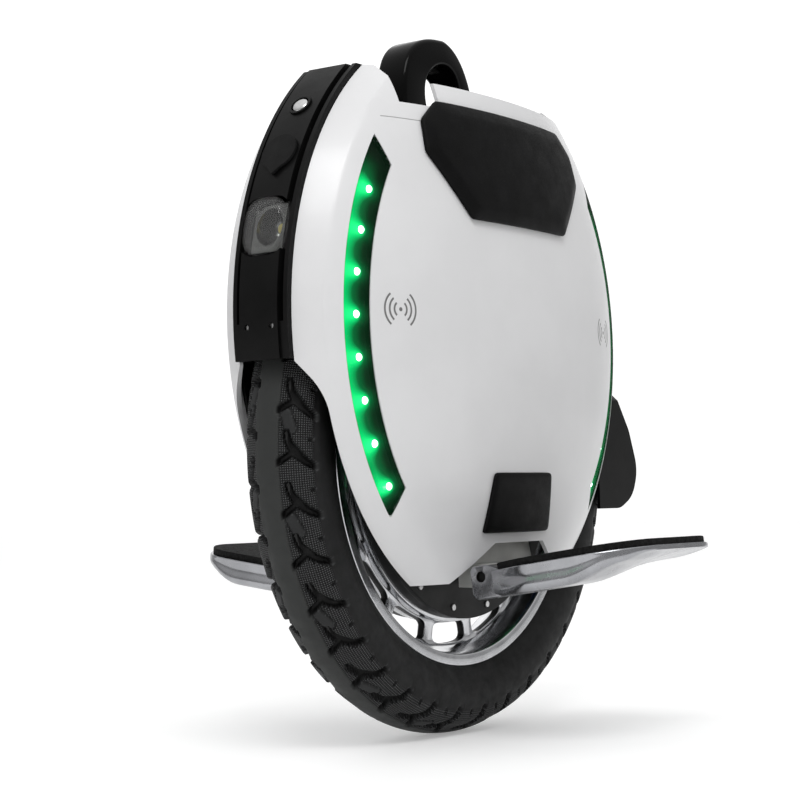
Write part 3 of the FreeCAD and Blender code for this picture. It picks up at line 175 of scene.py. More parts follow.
def rough_group():
    """Roughness between two values, in patches with fine streaks."""
    tree, given, result = new_group("wandering_roughness", [
        ("Vector", VECTOR, None), ("Low", FLOAT, 0.3), ("High", FLOAT, 0.5), ("Scale", FLOAT, 40.0)],
        "Roughness", FLOAT)
    patch = noise(tree, given["Vector"], given["Scale"], 6.0, 0.65)
    wire(tree, map_range(tree, patch, 0.3, 0.7, given["Low"], given["High"]), result)
    return tree


def grain_group():
    """Normal: fine grain pressed into the surface."""
    tree, given, result = new_group("pressed_grain", [
        ("Vector", VECTOR, None), ("Scale", FLOAT, 900.0), ("Strength", FLOAT, 0.2), ("Depth", FLOAT, 0.0002)],
        "Normal", VECTOR)
    height = noise(tree, given["Vector"], given["Scale"], 3.0, 0.6)
    bump = new_node(tree, "Bump", Height=height, Strength=given["Strength"], Distance=given["Depth"])
    wire(tree, bump.outputs["Normal"], result)
    return tree


MOTTLE, WANDER, GRAIN = mottle_group(), rough_group(), grain_group()
print("node groups:", [g.name for g in (MOTTLE, WANDER, GRAIN)])

# %% [markdown]
# ## One recipe for every finish
#
# Moulded plastic, cast alloy, rubber and paint differ in colour, gloss and grain, and hardly in how those
# are wired. One function makes any of them from the three groups. Plain numbers such as Metallic or the
# coat go straight to the shader's sockets, where a reader finds them.

# %% A material from the three groups


def place_group(tree, group, vector, **values):
    return new_node(tree, "Group", {"node_tree": group}, Vector=vector, **values).outputs[0]


def grey(v, tint=(1, 1, 1)):
    return (v * tint[0], v * tint[1], v * tint[2], 1)


def surface(name, light, dark, rough, cloud=30.0, patch=45.0, grain=(900.0, 0.15, 0.0002), **constants):
    """A material: two colours, roughness range, scales of the clouds and patches, grain (scale, strength,
    depth) and the shader's plain numbers."""
    m = bpy.data.materials.new(name)
    m.use_nodes = True
    tree = m.node_tree
    shader = tree.nodes["Principled BSDF"]
    where = new_node(tree, "TexCoord").outputs["Object"]
    looks = {
        "Base Color": place_group(tree, MOTTLE, where, Light=light, Dark=dark, Scale=cloud),
        "Roughness": place_group(tree, WANDER, where, Low=rough[0], High=rough[1], Scale=patch),
        "Normal": place_group(tree, GRAIN, where, Scale=grain[0], Strength=grain[1], Depth=grain[2]),
    }
    for label, result in looks.items():
        tree.links.new(result, shader.inputs[label])
    for label, v in constants.items():
        shader.inputs[label.replace("_", " ")].default_value = v
    return m


# %% Patterns laid over a finish


def parts_of(material):
    tree = material.node_tree
    return tree, tree.nodes["Principled BSDF"], tree.nodes["Texture Coordinate"].outputs["Object"]


def split(tree, vector):
    return new_node(tree, "SeparateXYZ", Vector=vector).outputs


def recolour(tree, shader, mask, colour):
    """Lays a second colour over the base colour where the mask is one."""
    old = shader.inputs["Base Color"].links[0].from_socket
    tree.links.new(mix_colours(tree, mask, old, colour), shader.inputs["Base Color"])


def rebump(tree, shader, height, strength, depth, invert=False):
    """Adds a relief over the grain."""
    old = shader.inputs["Normal"].links[0].from_socket
    bump = new_node(tree, "Bump", {"invert": invert}, Strength=strength, Distance=depth, Height=height,
                    Normal=old)
    tree.links.new(bump.outputs["Normal"], shader.inputs["Normal"])


def band(tree, value, middle, half, soft):
    """One where the value lies in a narrow band, falling softly to zero."""
    off = math_node(tree, "ABSOLUTE", math_node(tree, "SUBTRACT", value, middle))
    return map_range(tree, off, half + soft, half - soft, kind="SMOOTHSTEP")


def away(tree, a, b):
    """The distance from the point where both values are zero."""
    squares = [math_node(tree, "MULTIPLY", v, v) for v in (a, b)]
    return math_node(tree, "SQRT", math_node(tree, "ADD", *squares))


def mark_on_mesh(tree, name):
    """A value that the mesh carries at its vertices."""
    return new_node(tree, "Attribute", {"attribute_name": name}).outputs["Fac"]


# %% [markdown]
# ## The white shell
#
# The shells are moulded in white plastic with a thin gloss. Near the front and rear edges each bears a
# small sunk mark where a loudspeaker sits: a dot with waves on both sides. A fine seam runs below the top
# edge. Both are too thin to model with faces, so they are drawn in the material, as colour and as relief.

# %% White shell with its speaker marks and seam
MAT = {}
MARK_X, MARK_Z = 0.156, 0.340
WAVES, WAVE_HALF, WAVE_SOFT, WAVE_LEAN, DOT = (0.0150, 0.0105, 0.0060), 0.0008, 0.0003, 0.62, 0.0016
SEAM_Z, SEAM_FROM, SEAM_TO, SEAM_HALF, SEAM_SOFT = 0.493, 0.107, 0.150, 0.0003, 0.0002


def white_shell():
    tint = (1, 1, 1.01)
    m = surface("white_shell", grey(0.80, tint), grey(0.77, tint), (0.30, 0.40), 18.0, 25.0,
                (700.0, 0.05, 0.0001), Coat_Weight=0.25, Coat_Roughness=0.12)
    tree, shader, where = parts_of(m)
    calc = partial(math_node, tree)
    x, _, z = split(tree, where)
    across = calc("SUBTRACT", calc("ABSOLUTE", x), MARK_X)
    radius = away(tree, across, calc("SUBTRACT", z, MARK_Z))
    lean = calc("DIVIDE", calc("ABSOLUTE", across), calc("MAXIMUM", radius, 1e-5))
    rings = 0.0
    for r in WAVES:
        rings = calc("MAXIMUM", rings, band(tree, radius, r, WAVE_HALF, WAVE_SOFT))
    waves = calc("MULTIPLY", rings, calc("GREATER_THAN", lean, WAVE_LEAN))
    mark = calc("MAXIMUM", waves, calc("LESS_THAN", radius, DOT))
    ahead = calc("MULTIPLY", calc("GREATER_THAN", x, SEAM_FROM), calc("LESS_THAN", x, SEAM_TO))
    seam = calc("MULTIPLY", band(tree, z, SEAM_Z, SEAM_HALF, SEAM_SOFT), ahead)
    recolour(tree, shader, seam, grey(0.30))
    recolour(tree, shader, mark, grey(0.16))
    rebump(tree, shader, calc("MAXIMUM", mark, seam), 0.6, 0.0006, invert=True)
    return m


MAT["white_shell"] = white_shell()
print("white_shell:", len(MAT["white_shell"].node_tree.nodes), "nodes")

# %% [markdown]
# ## Turned metal
#
# The rim and the motor cover come off a lathe, and the tool leaves rings finer than a hair about the axle.
# They catch the light as a faint fan. Noise along one dimension, the distance from the axle, gives rings of
# uneven depth, as a lathe does; a regular wave would look like a record's groove.

# %% Turned finish, for the rim and the motor cover
COLD = (1, 1.01, 1.04)


def lathe_turned(m, scale=1400.0, strength=0.06):
    tree, shader, where = parts_of(m)
    x, _, z = split(tree, where)
    radius = away(tree, x, math_node(tree, "SUBTRACT", z, AXLE_Z * MM))
    rings = new_node(tree, "TexNoise", {"noise_dimensions": "1D"}, Scale=scale, W=radius)
    rebump(tree, shader, rings.outputs["Fac"], strength, 0.0002)
    return m


MAT["polished_alloy"] = lathe_turned(surface(
    "polished_alloy", grey(0.62, COLD), grey(0.50, COLD), (0.14, 0.26), 40.0, 60.0, (1200.0, 0.04, 0.0001),
    Metallic=1.0))
MAT["black_metal"] = lathe_turned(surface(
    "black_metal", grey(0.008), grey(0.005), (0.30, 0.48), 40.0, 60.0, (1100.0, 0.2, 0.0002),
    Specular_IOR_Level=0.16), 900.0, 0.15)
print("turned finishes:", MAT["polished_alloy"].name, MAT["black_metal"].name)

# %% [markdown]
# ## Tyre rubber
#
# The tread's blocks carry a fine diamond mesh, a few millimetres from stud to stud. As faces it would take
# millions, so two crossed sines over the unrolled tread make it as relief, and only where the tyre's
# vertices mark a pad; the studs' tops are painted lighter, a painted highlight on each stud. Other marks
# paint the middle rib lighter, the smooth blocks lighter as a painted sheen, a painted highlight along the
# grooves' edges and painted shade in the grooves.

# %% Rubber with a mesh and the tread's shades
MESH_TURN = 1.75
# Colours laid over the rubber: the middle rib painted lighter, a painted sheen on the smooth lens blocks, a
# painted highlight along the grooves' edges and painted shade in the grooves.
RUBBER_SHADES = {
    "lighter_rib": grey(0.034, (1, 1.05, 1.02)), "lens_block": grey(0.020, (1, 1.03, 1.05)),
    "edge_highlight": grey(0.050, (1, 1.03, 1.05)), "groove": grey(0.0010),
}


def tyre_rubber():
    m = surface("tyre_rubber", grey(0.009, (1, 1.02, 1.06)), grey(0.005), (0.50, 0.70), 60.0, 90.0,
                (1500.0, 0.25, 0.0002), Specular_IOR_Level=0.25)
    tree, shader, _ = parts_of(m)
    calc = partial(math_node, tree)
    u, v, _ = split(tree, new_node(tree, "UVMap", {"uv_map": "tread"}).outputs["UV"])
    diagonals = [calc("SINE", calc("MULTIPLY", calc(kind, u, v), MESH_TURN)) for kind in ("ADD", "SUBTRACT")]
    relief = calc("MULTIPLY", calc("MULTIPLY", *diagonals), mark_on_mesh(tree, "mesh_pad"))
    rebump(tree, shader, relief, 1.0, 0.0012)
    # The studs' tops are painted lighter: a painted highlight on each stud.
    stud_highlight = map_range(tree, relief, 0.05, 0.6, kind="SMOOTHSTEP")
    recolour(tree, shader, stud_highlight, grey(0.13, (1, 1.02, 1.04)))
    for label, colour in RUBBER_SHADES.items():
        recolour(tree, shader, mark_on_mesh(tree, label), colour)
    return m


MAT["tyre"] = tyre_rubber()
print("tyre_rubber shades:", list(RUBBER_SHADES))

# %% [markdown]
# ## The lamp board
#
# Behind a light bar's lens the lamps throw green pools on a dark board. Real lamps and bounced light would
# give them, with much noise and long renders. Here the mesh carries a value, glow, and a colour ramp turns
# it into light: nearly black, deep green, bright green, and almost white beside a lamp.

# %% Board that glows near its lamps
GLOW_ENDS = ((0.0, 0.004, 0.001, 1), (0.75, 1.0, 0.85, 1))
GLOW_STOPS = ((0.3, (0.0, 0.10, 0.025, 1)), (0.55, (0.0, 0.55, 0.13, 1)), (0.8, (0.02, 0.95, 0.25, 1)))


def glow_board():
    tint = (0.5, 1, 0.6)
    m = surface("lamp_board", grey(0.008, tint), grey(0.004, tint), (0.55, 0.7), Specular_IOR_Level=0.04)
    tree, shader, _ = parts_of(m)
    ramp = new_node(tree, "ValToRGB", Fac=mark_on_mesh(tree, "glow"))
    stops = ramp.color_ramp.elements
    stops[0].color, stops[1].color = GLOW_ENDS
    for place, colour in GLOW_STOPS:
        stops.new(place).color = colour
    tree.links.new(ramp.outputs["Color"], shader.inputs["Emission Color"])
    shader.inputs["Emission Strength"].default_value = 1.5
    return m


MAT["led_board"] = glow_board()
print("lamp_board stops:", 2 + len(GLOW_STOPS))

# %% [markdown]
# ## The plain finishes
#
# All other pieces need no pattern of their own: black plastics from dull to glossy, rubber, grip tape, bare
# and cast metal, lenses. A lens could be true glass, but thin moulded covers are nearly all clear, so a low
# alpha with a coat shows the same and stays free of noise. The blacks keep a low specular level, because
# the studio is white all round and would wash them out.

# %% Plain finishes


def finish(name, *look, **numbers):
    MAT[name] = surface(name, *look, **numbers)


STEEL = dict(Metallic=1.0)
CAST, SANDED = (1, 1.01, 1.06), (1, 1, 0.97)
finish("tube_rubber", grey(0.03), grey(0.02), (0.5, 0.7))
finish("steel", grey(0.62), grey(0.52), (0.2, 0.38), 200.0, 300.0, (2500.0, 0.1, 0.0001), **STEEL)
finish("motor_iron", grey(0.20, (1, 0.97, 0.93)), grey(0.12), (0.5, 0.7), **STEEL)
finish("black_plastic", grey(0.005), grey(0.003), (0.30, 0.42), 35.0, 50.0, (1300.0, 0.2, 0.0002),
       Specular_IOR_Level=0.12)
finish("gloss_black", grey(0.002), grey(0.0015), (0.12, 0.20), 35.0, 50.0, (600.0, 0.04, 0.0001),
       Specular_IOR_Level=0.09, Coat_Weight=0.03, Coat_Roughness=0.05)
finish("soft_black", grey(0.0035, (1, 1, 1.1)), grey(0.0025), (0.42, 0.58), 45.0, 60.0, (1100.0, 0.5, 0.0004),
       Specular_IOR_Level=0.09)
finish("rubber_cap", grey(0.010), grey(0.007), (0.55, 0.7), 60.0, 90.0, (1600.0, 0.3, 0.0002),
       Specular_IOR_Level=0.12)
finish("grip_tape", grey(0.012), grey(0.005), (0.7, 0.9), 400.0, 200.0, (700.0, 1.0, 0.0009),
       Specular_IOR_Level=0.12)
finish("smoked_lens", grey(0.03), grey(0.02), (0.04, 0.10), 30.0, 40.0, (500.0, 0.03, 0.0001),
       Alpha=0.04, Specular_IOR_Level=0.3)
finish("clear_lens", grey(0.55), grey(0.45), (0.02, 0.07), 30.0, 40.0, (400.0, 0.03, 0.0001),
       Alpha=0.06, Coat_Weight=1.0, Coat_Roughness=0.02)
finish("red_lens", (0.26, 0.003, 0.004, 1), (0.18, 0.002, 0.003, 1), (0.05, 0.10), 30.0, 40.0,
       (400.0, 0.03, 0.0001), Alpha=0.9, Specular_IOR_Level=0.3, Coat_Weight=0.25, Coat_Roughness=0.03)
finish("reflector", grey(0.16, (1, 1.04, 0.98)), grey(0.10), (0.08, 0.20), 60.0, 80.0, (900.0, 0.05, 0.0001),
       **STEEL)
finish("lamp_chip", (0.85, 0.75, 0.3, 1), (0.75, 0.62, 0.2, 1), (0.3, 0.4))
finish("button_metal", grey(0.72), grey(0.62), (0.12, 0.22), 300.0, 300.0, (1500.0, 0.05, 0.0001), **STEEL)
finish("socket_metal", grey(0.5), grey(0.42), (0.35, 0.5), **STEEL)
finish("cast_alloy", grey(0.40, CAST), grey(0.31, CAST), (0.18, 0.32), 25.0, 45.0, (260.0, 0.06, 0.0004),
       **STEEL)
finish("hanger_alloy", grey(0.66, SANDED), grey(0.56, SANDED), (0.45, 0.60), 30.0, 45.0, (500.0, 0.1, 0.0003),
       Metallic=0.35)
finish("battery_wrap", (0.03, 0.10, 0.32, 1), (0.02, 0.07, 0.25, 1), (0.35, 0.5))
print("finishes:", len(MAT))

# %% [markdown]
# ## Carried-over CAD nodes
#
# Most pieces keep their CAD shape, and every node takes its slot's finish. A few slots hold two real
# finishes, so the grips, the cap, the lift button and the hangers have one of their own.

# %% Paint every node
SLOT = {s["node"]: s["material_slot"] for s in frame["record"]["subparts"]}
BODY = {n: b for b, names in frame["record"]["behaviour"]["bodies"].items() for n in names}
OTHER_PAINT = {"left_grip": "grip_tape", "right_grip": "grip_tape", "charge_cap": "rubber_cap",
               "lift_button": "rubber_cap", "left_hanger": "hanger_alloy", "right_hanger": "hanger_alloy"}


def paint(thing, material):
    thing.data.materials.clear()
    thing.data.materials.append(material)


def paint_of(label):
    return MAT[OTHER_PAINT.get(label, SLOT[label])]


for label, thing in nodes.items():
    paint(thing, paint_of(label))
print("painted nodes:", len(nodes), "with a finish of their own:", len(OTHER_PAINT))

# %% [markdown]
# ## Rounded corners
#
# A moulded or turned edge is never quite sharp: a rounding of half a millimetre catches a thin line of
# light, and without it a render looks like a drawing. A Bevel modifier on the CAD mesh would do little,
# because its faces don't share vertices. So each visible node is copied, welded, cleared of needless
# edges and bevelled where two faces meet at an angle, and the copy then stands for the node.

# %% Copy, weld and bevel the visible nodes
WELD, FLAT, CORNER = 2e-6, math.radians(0.05), math.radians(35)
SOFTENED = {
    "left_shell": 0.7, "right_shell": 0.7, "front_panel": 0.6, "rear_panel": 0.6, "rear_mudguard": 0.9,
    "left_grip": 1.0, "right_grip": 1.0, "charge_cap": 0.6,
    "power_button_ring": 0.4, "left_motor_cover": 0.6, "right_motor_cover": 0.6, "cover_screws": 0.3,
    "panel_screws": 0.3, "left_hanger": 0.8, "right_hanger": 0.8,
}


def add_piece(name, mesh, body, slot, *replaced):
    piece = bpy.data.objects.new(name, mesh)
    scene.collection.objects.link(piece)
    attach(piece, body)
    if replaced:
        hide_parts(*replaced)
    return piece


def soften(label, width):
    """A copy of a CAD node with its corners rounded over by a width in mm."""
    bm = bmesh.new()
    bm.from_mesh(nodes[label].data)
    bmesh.ops.remove_doubles(bm, verts=bm.verts, dist=WELD)
    bmesh.ops.dissolve_limit(bm, angle_limit=FLAT, verts=bm.verts, edges=bm.edges)
    sharp = [e for e in bm.edges if len(e.link_faces) == 2 and e.calc_face_angle(0) > CORNER]
    bmesh.ops.bevel(bm, geom=sharp, offset=width * MM, segments=2, profile=0.6, affect="EDGES",
                    clamp_overlap=True)
    mesh = bpy.data.meshes.new(label + "_rounded")
    bm.to_mesh(mesh)
    bm.free()
    mesh.shade_smooth()
    mesh.set_sharp_from_angle(angle=CORNER)
    piece = add_piece(label + "_rounded", mesh, BODY[label], SLOT[label], label)
    paint(piece, paint_of(label))
    piece.modifiers.new("even_shading", "WEIGHTED_NORMAL").keep_sharp = True


for label, width in SOFTENED.items():
    soften(label, width)
print("rounded copies:", len(SOFTENED))

# %% [markdown]
# ## The dome, and meshes from rings
#
# Pads, lamps and lenses all follow the side shell, which is half an ellipsoid. `on_dome` gives a point on
# it, or on a layer a given distance off it, so that every layer stays parallel. Subdivision surfaces could
# follow the dome only nearly. Nearly all pieces below are rows of points, joined by strips of faces.

# %% Helpers for the dome and for rings
DOME = (231.0, 63.5, 252.0)
RIM_Y, DOME_Z = 26.5, 335.0
SIDES = ((1, "left"), (-1, "right"))
SQUARE = ((-1, -1), (1, -1), (1, 1), (-1, 1))


def on_dome(x, z, off, side=1):
    length, bulge, height = (v + off for v in DOME)
    rest = max(0.0, 1 - (x / length) ** 2 - ((z - DOME_Z) / height) ** 2)
    return (x * MM, side * (RIM_Y + bulge * math.sqrt(rest)) * MM, z * MM)


def circle(count):
    return [2 * math.pi * i / count for i in range(count)]


def add_ring(points, rings, ring):
    """Adds a row of points, and the row's indices to the rings."""
    rings.append(list(range(len(points), len(points) + len(ring))))
    points.extend(ring)


def strips(rings, closed=True):
    """Faces between rows of equal length, as index quads."""
    faces = []
    for a, b in zip(rings, rings[1:]):
        count = len(a)
        for i in range(count if closed else count - 1):
            j = (i + 1) % count
            faces.append((a[i], a[j], b[j], b[i]))
    return faces


def capped(rings):
    """Strips with a face over the first and the last ring."""
    return strips(rings) + [tuple(rings[0]), tuple(rings[-1])]


def face_outward(mesh):
    bm = bmesh.new()
    bm.from_mesh(mesh)
    bmesh.ops.recalc_face_normals(bm, faces=bm.faces)
    bm.to_mesh(mesh)
    bm.free()


def build_mesh(name, points, faces, material, smooth_angle=None):
    mesh = bpy.data.meshes.new(name)
    mesh.from_pydata(points, [], faces)
    face_outward(mesh)
    mesh.shade_smooth()
    if smooth_angle:
        mesh.set_sharp_from_angle(angle=math.radians(smooth_angle))
    mesh.materials.append(material)
    return mesh


print("the dome bulges to y =", round(on_dome(0, DOME_Z, 0)[1], 4))

# %% [markdown]
# ## The pads
#
# The knee and ankle pads are moulded foam in a grained skin, with a straight lip, a broad bevel and a
# slight crown. A bevelled slab bent over the shell would stretch at its ends. Instead the outline, a
# polygon with rounded corners, is drawn in step by step, and each ring is laid on its own layer of the dome.

# %% Outline with rounded corners


def polygon_reach(corners, centre, sharpness):
    """How far the rounded polygon reaches from its centre in a direction, when drawn in by some distance."""
    edges = []
    for (x0, z0), (x1, z1) in zip(corners, corners[1:] + corners[:1]):
        dx, dz = x1 - x0, z1 - z0
        size = math.hypot(dx, dz)
        nx, nz = dz / size, -dx / size
        out = nx * (x0 - centre[0]) + nz * (z0 - centre[1])
        if out < 0:
            nx, nz, out = -nx, -nz, -out
        edges.append((nx, nz, out))

    def reach(turn, inset):
        ux, uz = math.cos(turn), math.sin(turn)
        total = 0.0
        for nx, nz, out in edges:
            lean = nx * ux + nz * uz
            if lean > 0:
                total += (lean / (out - inset)) ** sharpness
        return total ** (-1 / sharpness)

    return reach


# %% Make the pads
KNEE = [(-92, 512), (92, 512), (113, 494), (115, 467), (70, 417), (-70, 417), (-115, 467), (-113, 494)]
ANKLE = [(-43, 215), (43, 215), (50, 166), (-50, 166)]
# Each step of a profile: how far the outline is drawn in, and how far it stands off the dome.
KNEE_PROFILE = [(1.0, 0.15), (0.3, 0.8), (0.0, 1.8), (0.1, 3.2), (0.6, 4.2), (1.6, 4.8), (5.0, 6.1),
                (8.6, 7.2), (10.0, 7.5), (12.5, 7.65), (16.0, 7.7)]
ANKLE_PROFILE = [(0.9, 0.15), (0.2, 0.8), (0.1, 1.6), (0.4, 2.6), (1.2, 3.4), (2.6, 3.9), (5.0, 4.2),
                 (8.0, 4.3)]
CROWN, CROWN_STEPS = 0.3, (0.85, 0.65, 0.45, 0.25, 0.1)


def make_pad(label, corners, centre, profile, sharpness, side, around):
    reach = polygon_reach(corners, centre, sharpness)
    last_inset, last_off = profile[-1]
    layers = [(inset, off, 1.0) for inset, off in profile]
    layers += [(last_inset, last_off + CROWN * (1 - shrink ** 2), shrink) for shrink in CROWN_STEPS]
    points, rings = [], []
    for inset, off, shrink in layers:
        ring = []
        for t in circle(around):
            r = reach(t, inset) * shrink
            ring.append(on_dome(centre[0] + r * math.cos(t), centre[1] + r * math.sin(t), off, side))
        add_ring(points, rings, ring)
    mesh = build_mesh(label + "_moulded", points, capped(rings), MAT["soft_black"])
    piece = add_piece(label + "_moulded", mesh, "body", "soft_black", label)
    print(piece.name, len(mesh.vertices), "vertices")


for side, word in SIDES:
    make_pad(word + "_knee_pad", KNEE, (0, 462), KNEE_PROFILE, 110, side, 240)
    make_pad(word + "_ankle_pad", ANKLE, (0, 190), ANKLE_PROFILE, 26, side, 160)

# %% [markdown]
# ## The light bars
#
# Along the front and rear edge of each shell a crescent is cut out. In it lies a dark tray with eight
# green lamps on its floor, under a thin clear cover that is flush with the shell. The tray is a grid of
# rows up the crescent, fine enough that a glow stored at its vertices shades smoothly. That spares the
# thirty-two small lights that the real bars would need.

# %% Where the bar and its lamps lie
LAMP_COUNT, LAMP_STEP, LAMP_DROP, LAMP_ARC = 8, 32.5, 16.0, (191.5, 216.5)
BAR_OUTER, BAR_INNER, BAR_GAP = (205, 227), (184, 206), 0.35
# Beyond these heights the crescent's ends are cut off straight: height, x there, and slope.
BAR_TOP, BAR_FOOT = (451, 150, 10 / 27), (206, 141, 9 / 24)


def oval(rise, half_length, half_height):
    return half_length * math.sqrt(max(0.0, 1 - (rise / half_height) ** 2))


LAMPS = []
for i in range(LAMP_COUNT):
    rise = LAMP_STEP * (i - (LAMP_COUNT - 1) / 2) - LAMP_DROP
    LAMPS.append((oval(rise, *LAMP_ARC), DOME_Z + rise))


def bar_limits(z):
    """The crescent's inner and outer x at a height."""
    outer, inner = (oval(z - DOME_Z, *arc) for arc in (BAR_OUTER, BAR_INNER))
    if z > BAR_TOP[0]:
        inner = max(inner, BAR_TOP[1] + (z - BAR_TOP[0]) * BAR_TOP[2])
    if z < BAR_FOOT[0]:
        inner = max(inner, BAR_FOOT[1] + (BAR_FOOT[0] - z) * BAR_FOOT[2])
    return inner + BAR_GAP, outer - BAR_GAP


print("lamps from", round(LAMPS[0][1]), "to", round(LAMPS[-1][1]), "mm above the floor")

# %% The tray and its glow
TRAY_FLOOR, TRAY_LIP, TRAY_ROWS, TRAY_COLUMNS = -6.0, -0.5, 150, 12
NEAR_SPREAD, WIDE_SPREAD, WIDE_SHIFT = 40.0, 330.0, 5


def lamp_light(x, z, inner):
    """How brightly the lamps shine on a point of the tray: a bright spot, and a pool that fades inward."""
    near = sum(math.exp(-((x - lx) ** 2 + (z - lz) ** 2) / NEAR_SPREAD) for lx, lz in LAMPS)
    wide = sum(math.exp(-((x - lx - WIDE_SHIFT) ** 2 + (z - lz) ** 2) / WIDE_SPREAD) for lx, lz in LAMPS)
    edge = 0.08 + 0.92 * min(1.0, max(0.0, (x - inner - 3) / 13.0))
    return min(0.9, 0.5 * near + 0.58 * wide * edge)


def make_bar(label, ahead, side):
    low, high = 183.2, 476.6
    points, rings, glow = [], [], []
    for k in range(TRAY_ROWS + 1):
        z = low + (high - low) * k / TRAY_ROWS
        inner, outer = bar_limits(z)
        outer = max(outer, inner + 0.2)
        row = [(inner, TRAY_LIP)]
        row += [(inner + (outer - inner) * c / TRAY_COLUMNS, TRAY_FLOOR) for c in range(TRAY_COLUMNS + 1)]
        row += [(outer, TRAY_LIP)]
        ring = []
        for x, off in row:
            p = on_dome(x, z, off, side)
            ring.append((p[0] * ahead, p[1], p[2]))
            # The tray's floor takes the full glow; on the front bars the outer wall takes 0.8 of it, a painted
            # reflection of the lamps' light.
            wall = 1.0 if off == TRAY_FLOOR else 0.8 if x == outer and ahead == 1 else 0.0
            glow.append(lamp_light(x, z, inner) * wall)
        add_ring(points, rings, ring)
    mesh = build_mesh(label + "_tray", points, strips(rings, closed=False), MAT["led_board"], 50)
    mesh.attributes.new("glow", "FLOAT", "POINT").data.foreach_set("value", glow)
    add_piece(label + "_tray", mesh, "body", "led_board", label + "_led_strip")


# %% The clear cover
COVER_LAYERS, COVER_ROWS, COVER_COLUMNS = (-0.1, -2.6), 110, 8


def sheet_border(rows):
    """The indices round a sheet of rows."""
    ends = [r[-1] for r in rows[1:]]
    starts = [r[0] for r in rows[-2:0:-1]]
    return rows[0] + ends + rows[-1][-2::-1] + starts


def make_bar_lens(label, ahead, side):
    low, high = 182.4, 477.4
    points, sheets = [], []
    for off in COVER_LAYERS:
        rings = []
        for k in range(COVER_ROWS + 1):
            z = low + (high - low) * k / COVER_ROWS
            inner, outer = bar_limits(z)
            outer = max(outer, inner + 0.1)
            row = [on_dome(inner + (outer - inner) * c / COVER_COLUMNS, z, off, side)
                   for c in range(COVER_COLUMNS + 1)]
            add_ring(points, rings, [(p[0] * ahead, p[1], p[2]) for p in row])
        sheets.append(rings)
    faces = [face for rings in sheets for face in strips(rings, closed=False)]
    faces += strips([sheet_border(rings) for rings in sheets])
    mesh = build_mesh(label + "_bar_cover", points, faces, MAT["smoked_lens"], 40)
    add_piece(label + "_bar_cover", mesh, "body", "smoked_lens", label + "_bar_lens")


# %% The lamps, and all four bars
LAMP_FOOT = -5.9
LAMP_PROFILE = ((2.9, 0.0), (2.9, 0.8), (2.4, 1.0), (2.2, 1.7), (1.5, 2.3), (0.4, 2.5))
GREEN = surface("lamp_green", (0.5, 1, 0.6, 1), (0.4, 1, 0.5, 1), (0.2, 0.3),
                Emission_Color=(0.6, 1.0, 0.75, 1), Emission_Strength=6.0)


def make_lamp_domes(label, ahead, side):
    points, faces = [], []
    for lx, lz in LAMPS:
        foot = Vector(on_dome(lx, lz, LAMP_FOOT, side))
        foot.x *= ahead
        rings = []
        for r, h in LAMP_PROFILE:
            add_ring(points, rings, [(foot.x + r * MM * math.cos(t), foot.y + side * h * MM,
                                      foot.z + r * MM * math.sin(t)) for t in circle(16)])
        faces += strips(rings)
        faces.append(tuple(rings[-1]))
    mesh = build_mesh(label + "_lamps", points, faces, GREEN)
    add_piece(label + "_lamps", mesh, "body", "led_board")


for side, word in SIDES:
    for ahead, end in ((1, "front"), (-1, "rear")):
        make_bar(f"{word}_{end}", ahead, side)
        make_lamp_domes(f"{word}_{end}", ahead, side)
        make_bar_lens(f"{word}_{end}", ahead, side)
        print(f"{word}_{end} light bar: tray, {len(LAMPS)} lamps and cover")

# %% [markdown]
# ## The tyre
#
# A smooth rib runs round the middle of the tread. On each side hooked grooves run out to the shoulder, one
# every ten degrees, and the blocks between them alternate: a mesh pad, then a smooth lens with mesh beside
# it. Cutting seventy-two grooves with booleans would be slow and leave ragged faces, and a displacement
# map would need a picture. Here the tread is a formula: every vertex of a fine torus asks how far it is
# from the groove's path, and is sunk by that much.

# %% The tread's layout and measures
TYRE_MAJOR, TYRE_MINOR, GROOVES = 200.3, 32.7, 36
BLOCK = 2 * math.pi * (TYRE_MAJOR + TYRE_MINOR) / GROOVES
# Paths as (distance from the middle, distance along the tread), in mm.
MAIN = [(17.0, -14), (18.8, -7), (23.5, 0), (29, 6), (35, 10.5), (42, 14)]
HOOK = [(23.5, 0.5), (17, 4.5), (9.5, 8.5)]
LENS = [(16.5, 12), (18.5, 18), (20.5, 23)]
MAIN_DEEP, HOOK_DEEP, NOTCH_DEEP, LENS_DEEP, LEDGE = 6.5, 6.0, 2.2, 1.8, 0.7
LENS_HALF, NOTCH, KNOT = 4.9, (36, -9), 23.5
SIDEWALL_LINES = ((58, 0.5), (64, 0.4))


def distance_to_path(v, s, path):
    best = np.full(v.shape, 1e9)
    for (v0, s0), (v1, s1) in zip(path, path[1:]):
        dv, ds = v1 - v0, s1 - s0
        t = np.clip(((v - v0) * dv + (s - s0) * ds) / (dv * dv + ds * ds), 0, 1)
        best = np.minimum(best, np.hypot(v - v0 - t * dv, s - s0 - t * ds))
    return best


def ease(low, high, value):
    """Zero below low, one above high, and a smooth step between."""
    t = np.clip((value - low) / (high - low), 0, 1)
    return t * t * (3 - 2 * t)


print("tread block:", round(BLOCK, 2), "mm long")

# %% The tread's relief


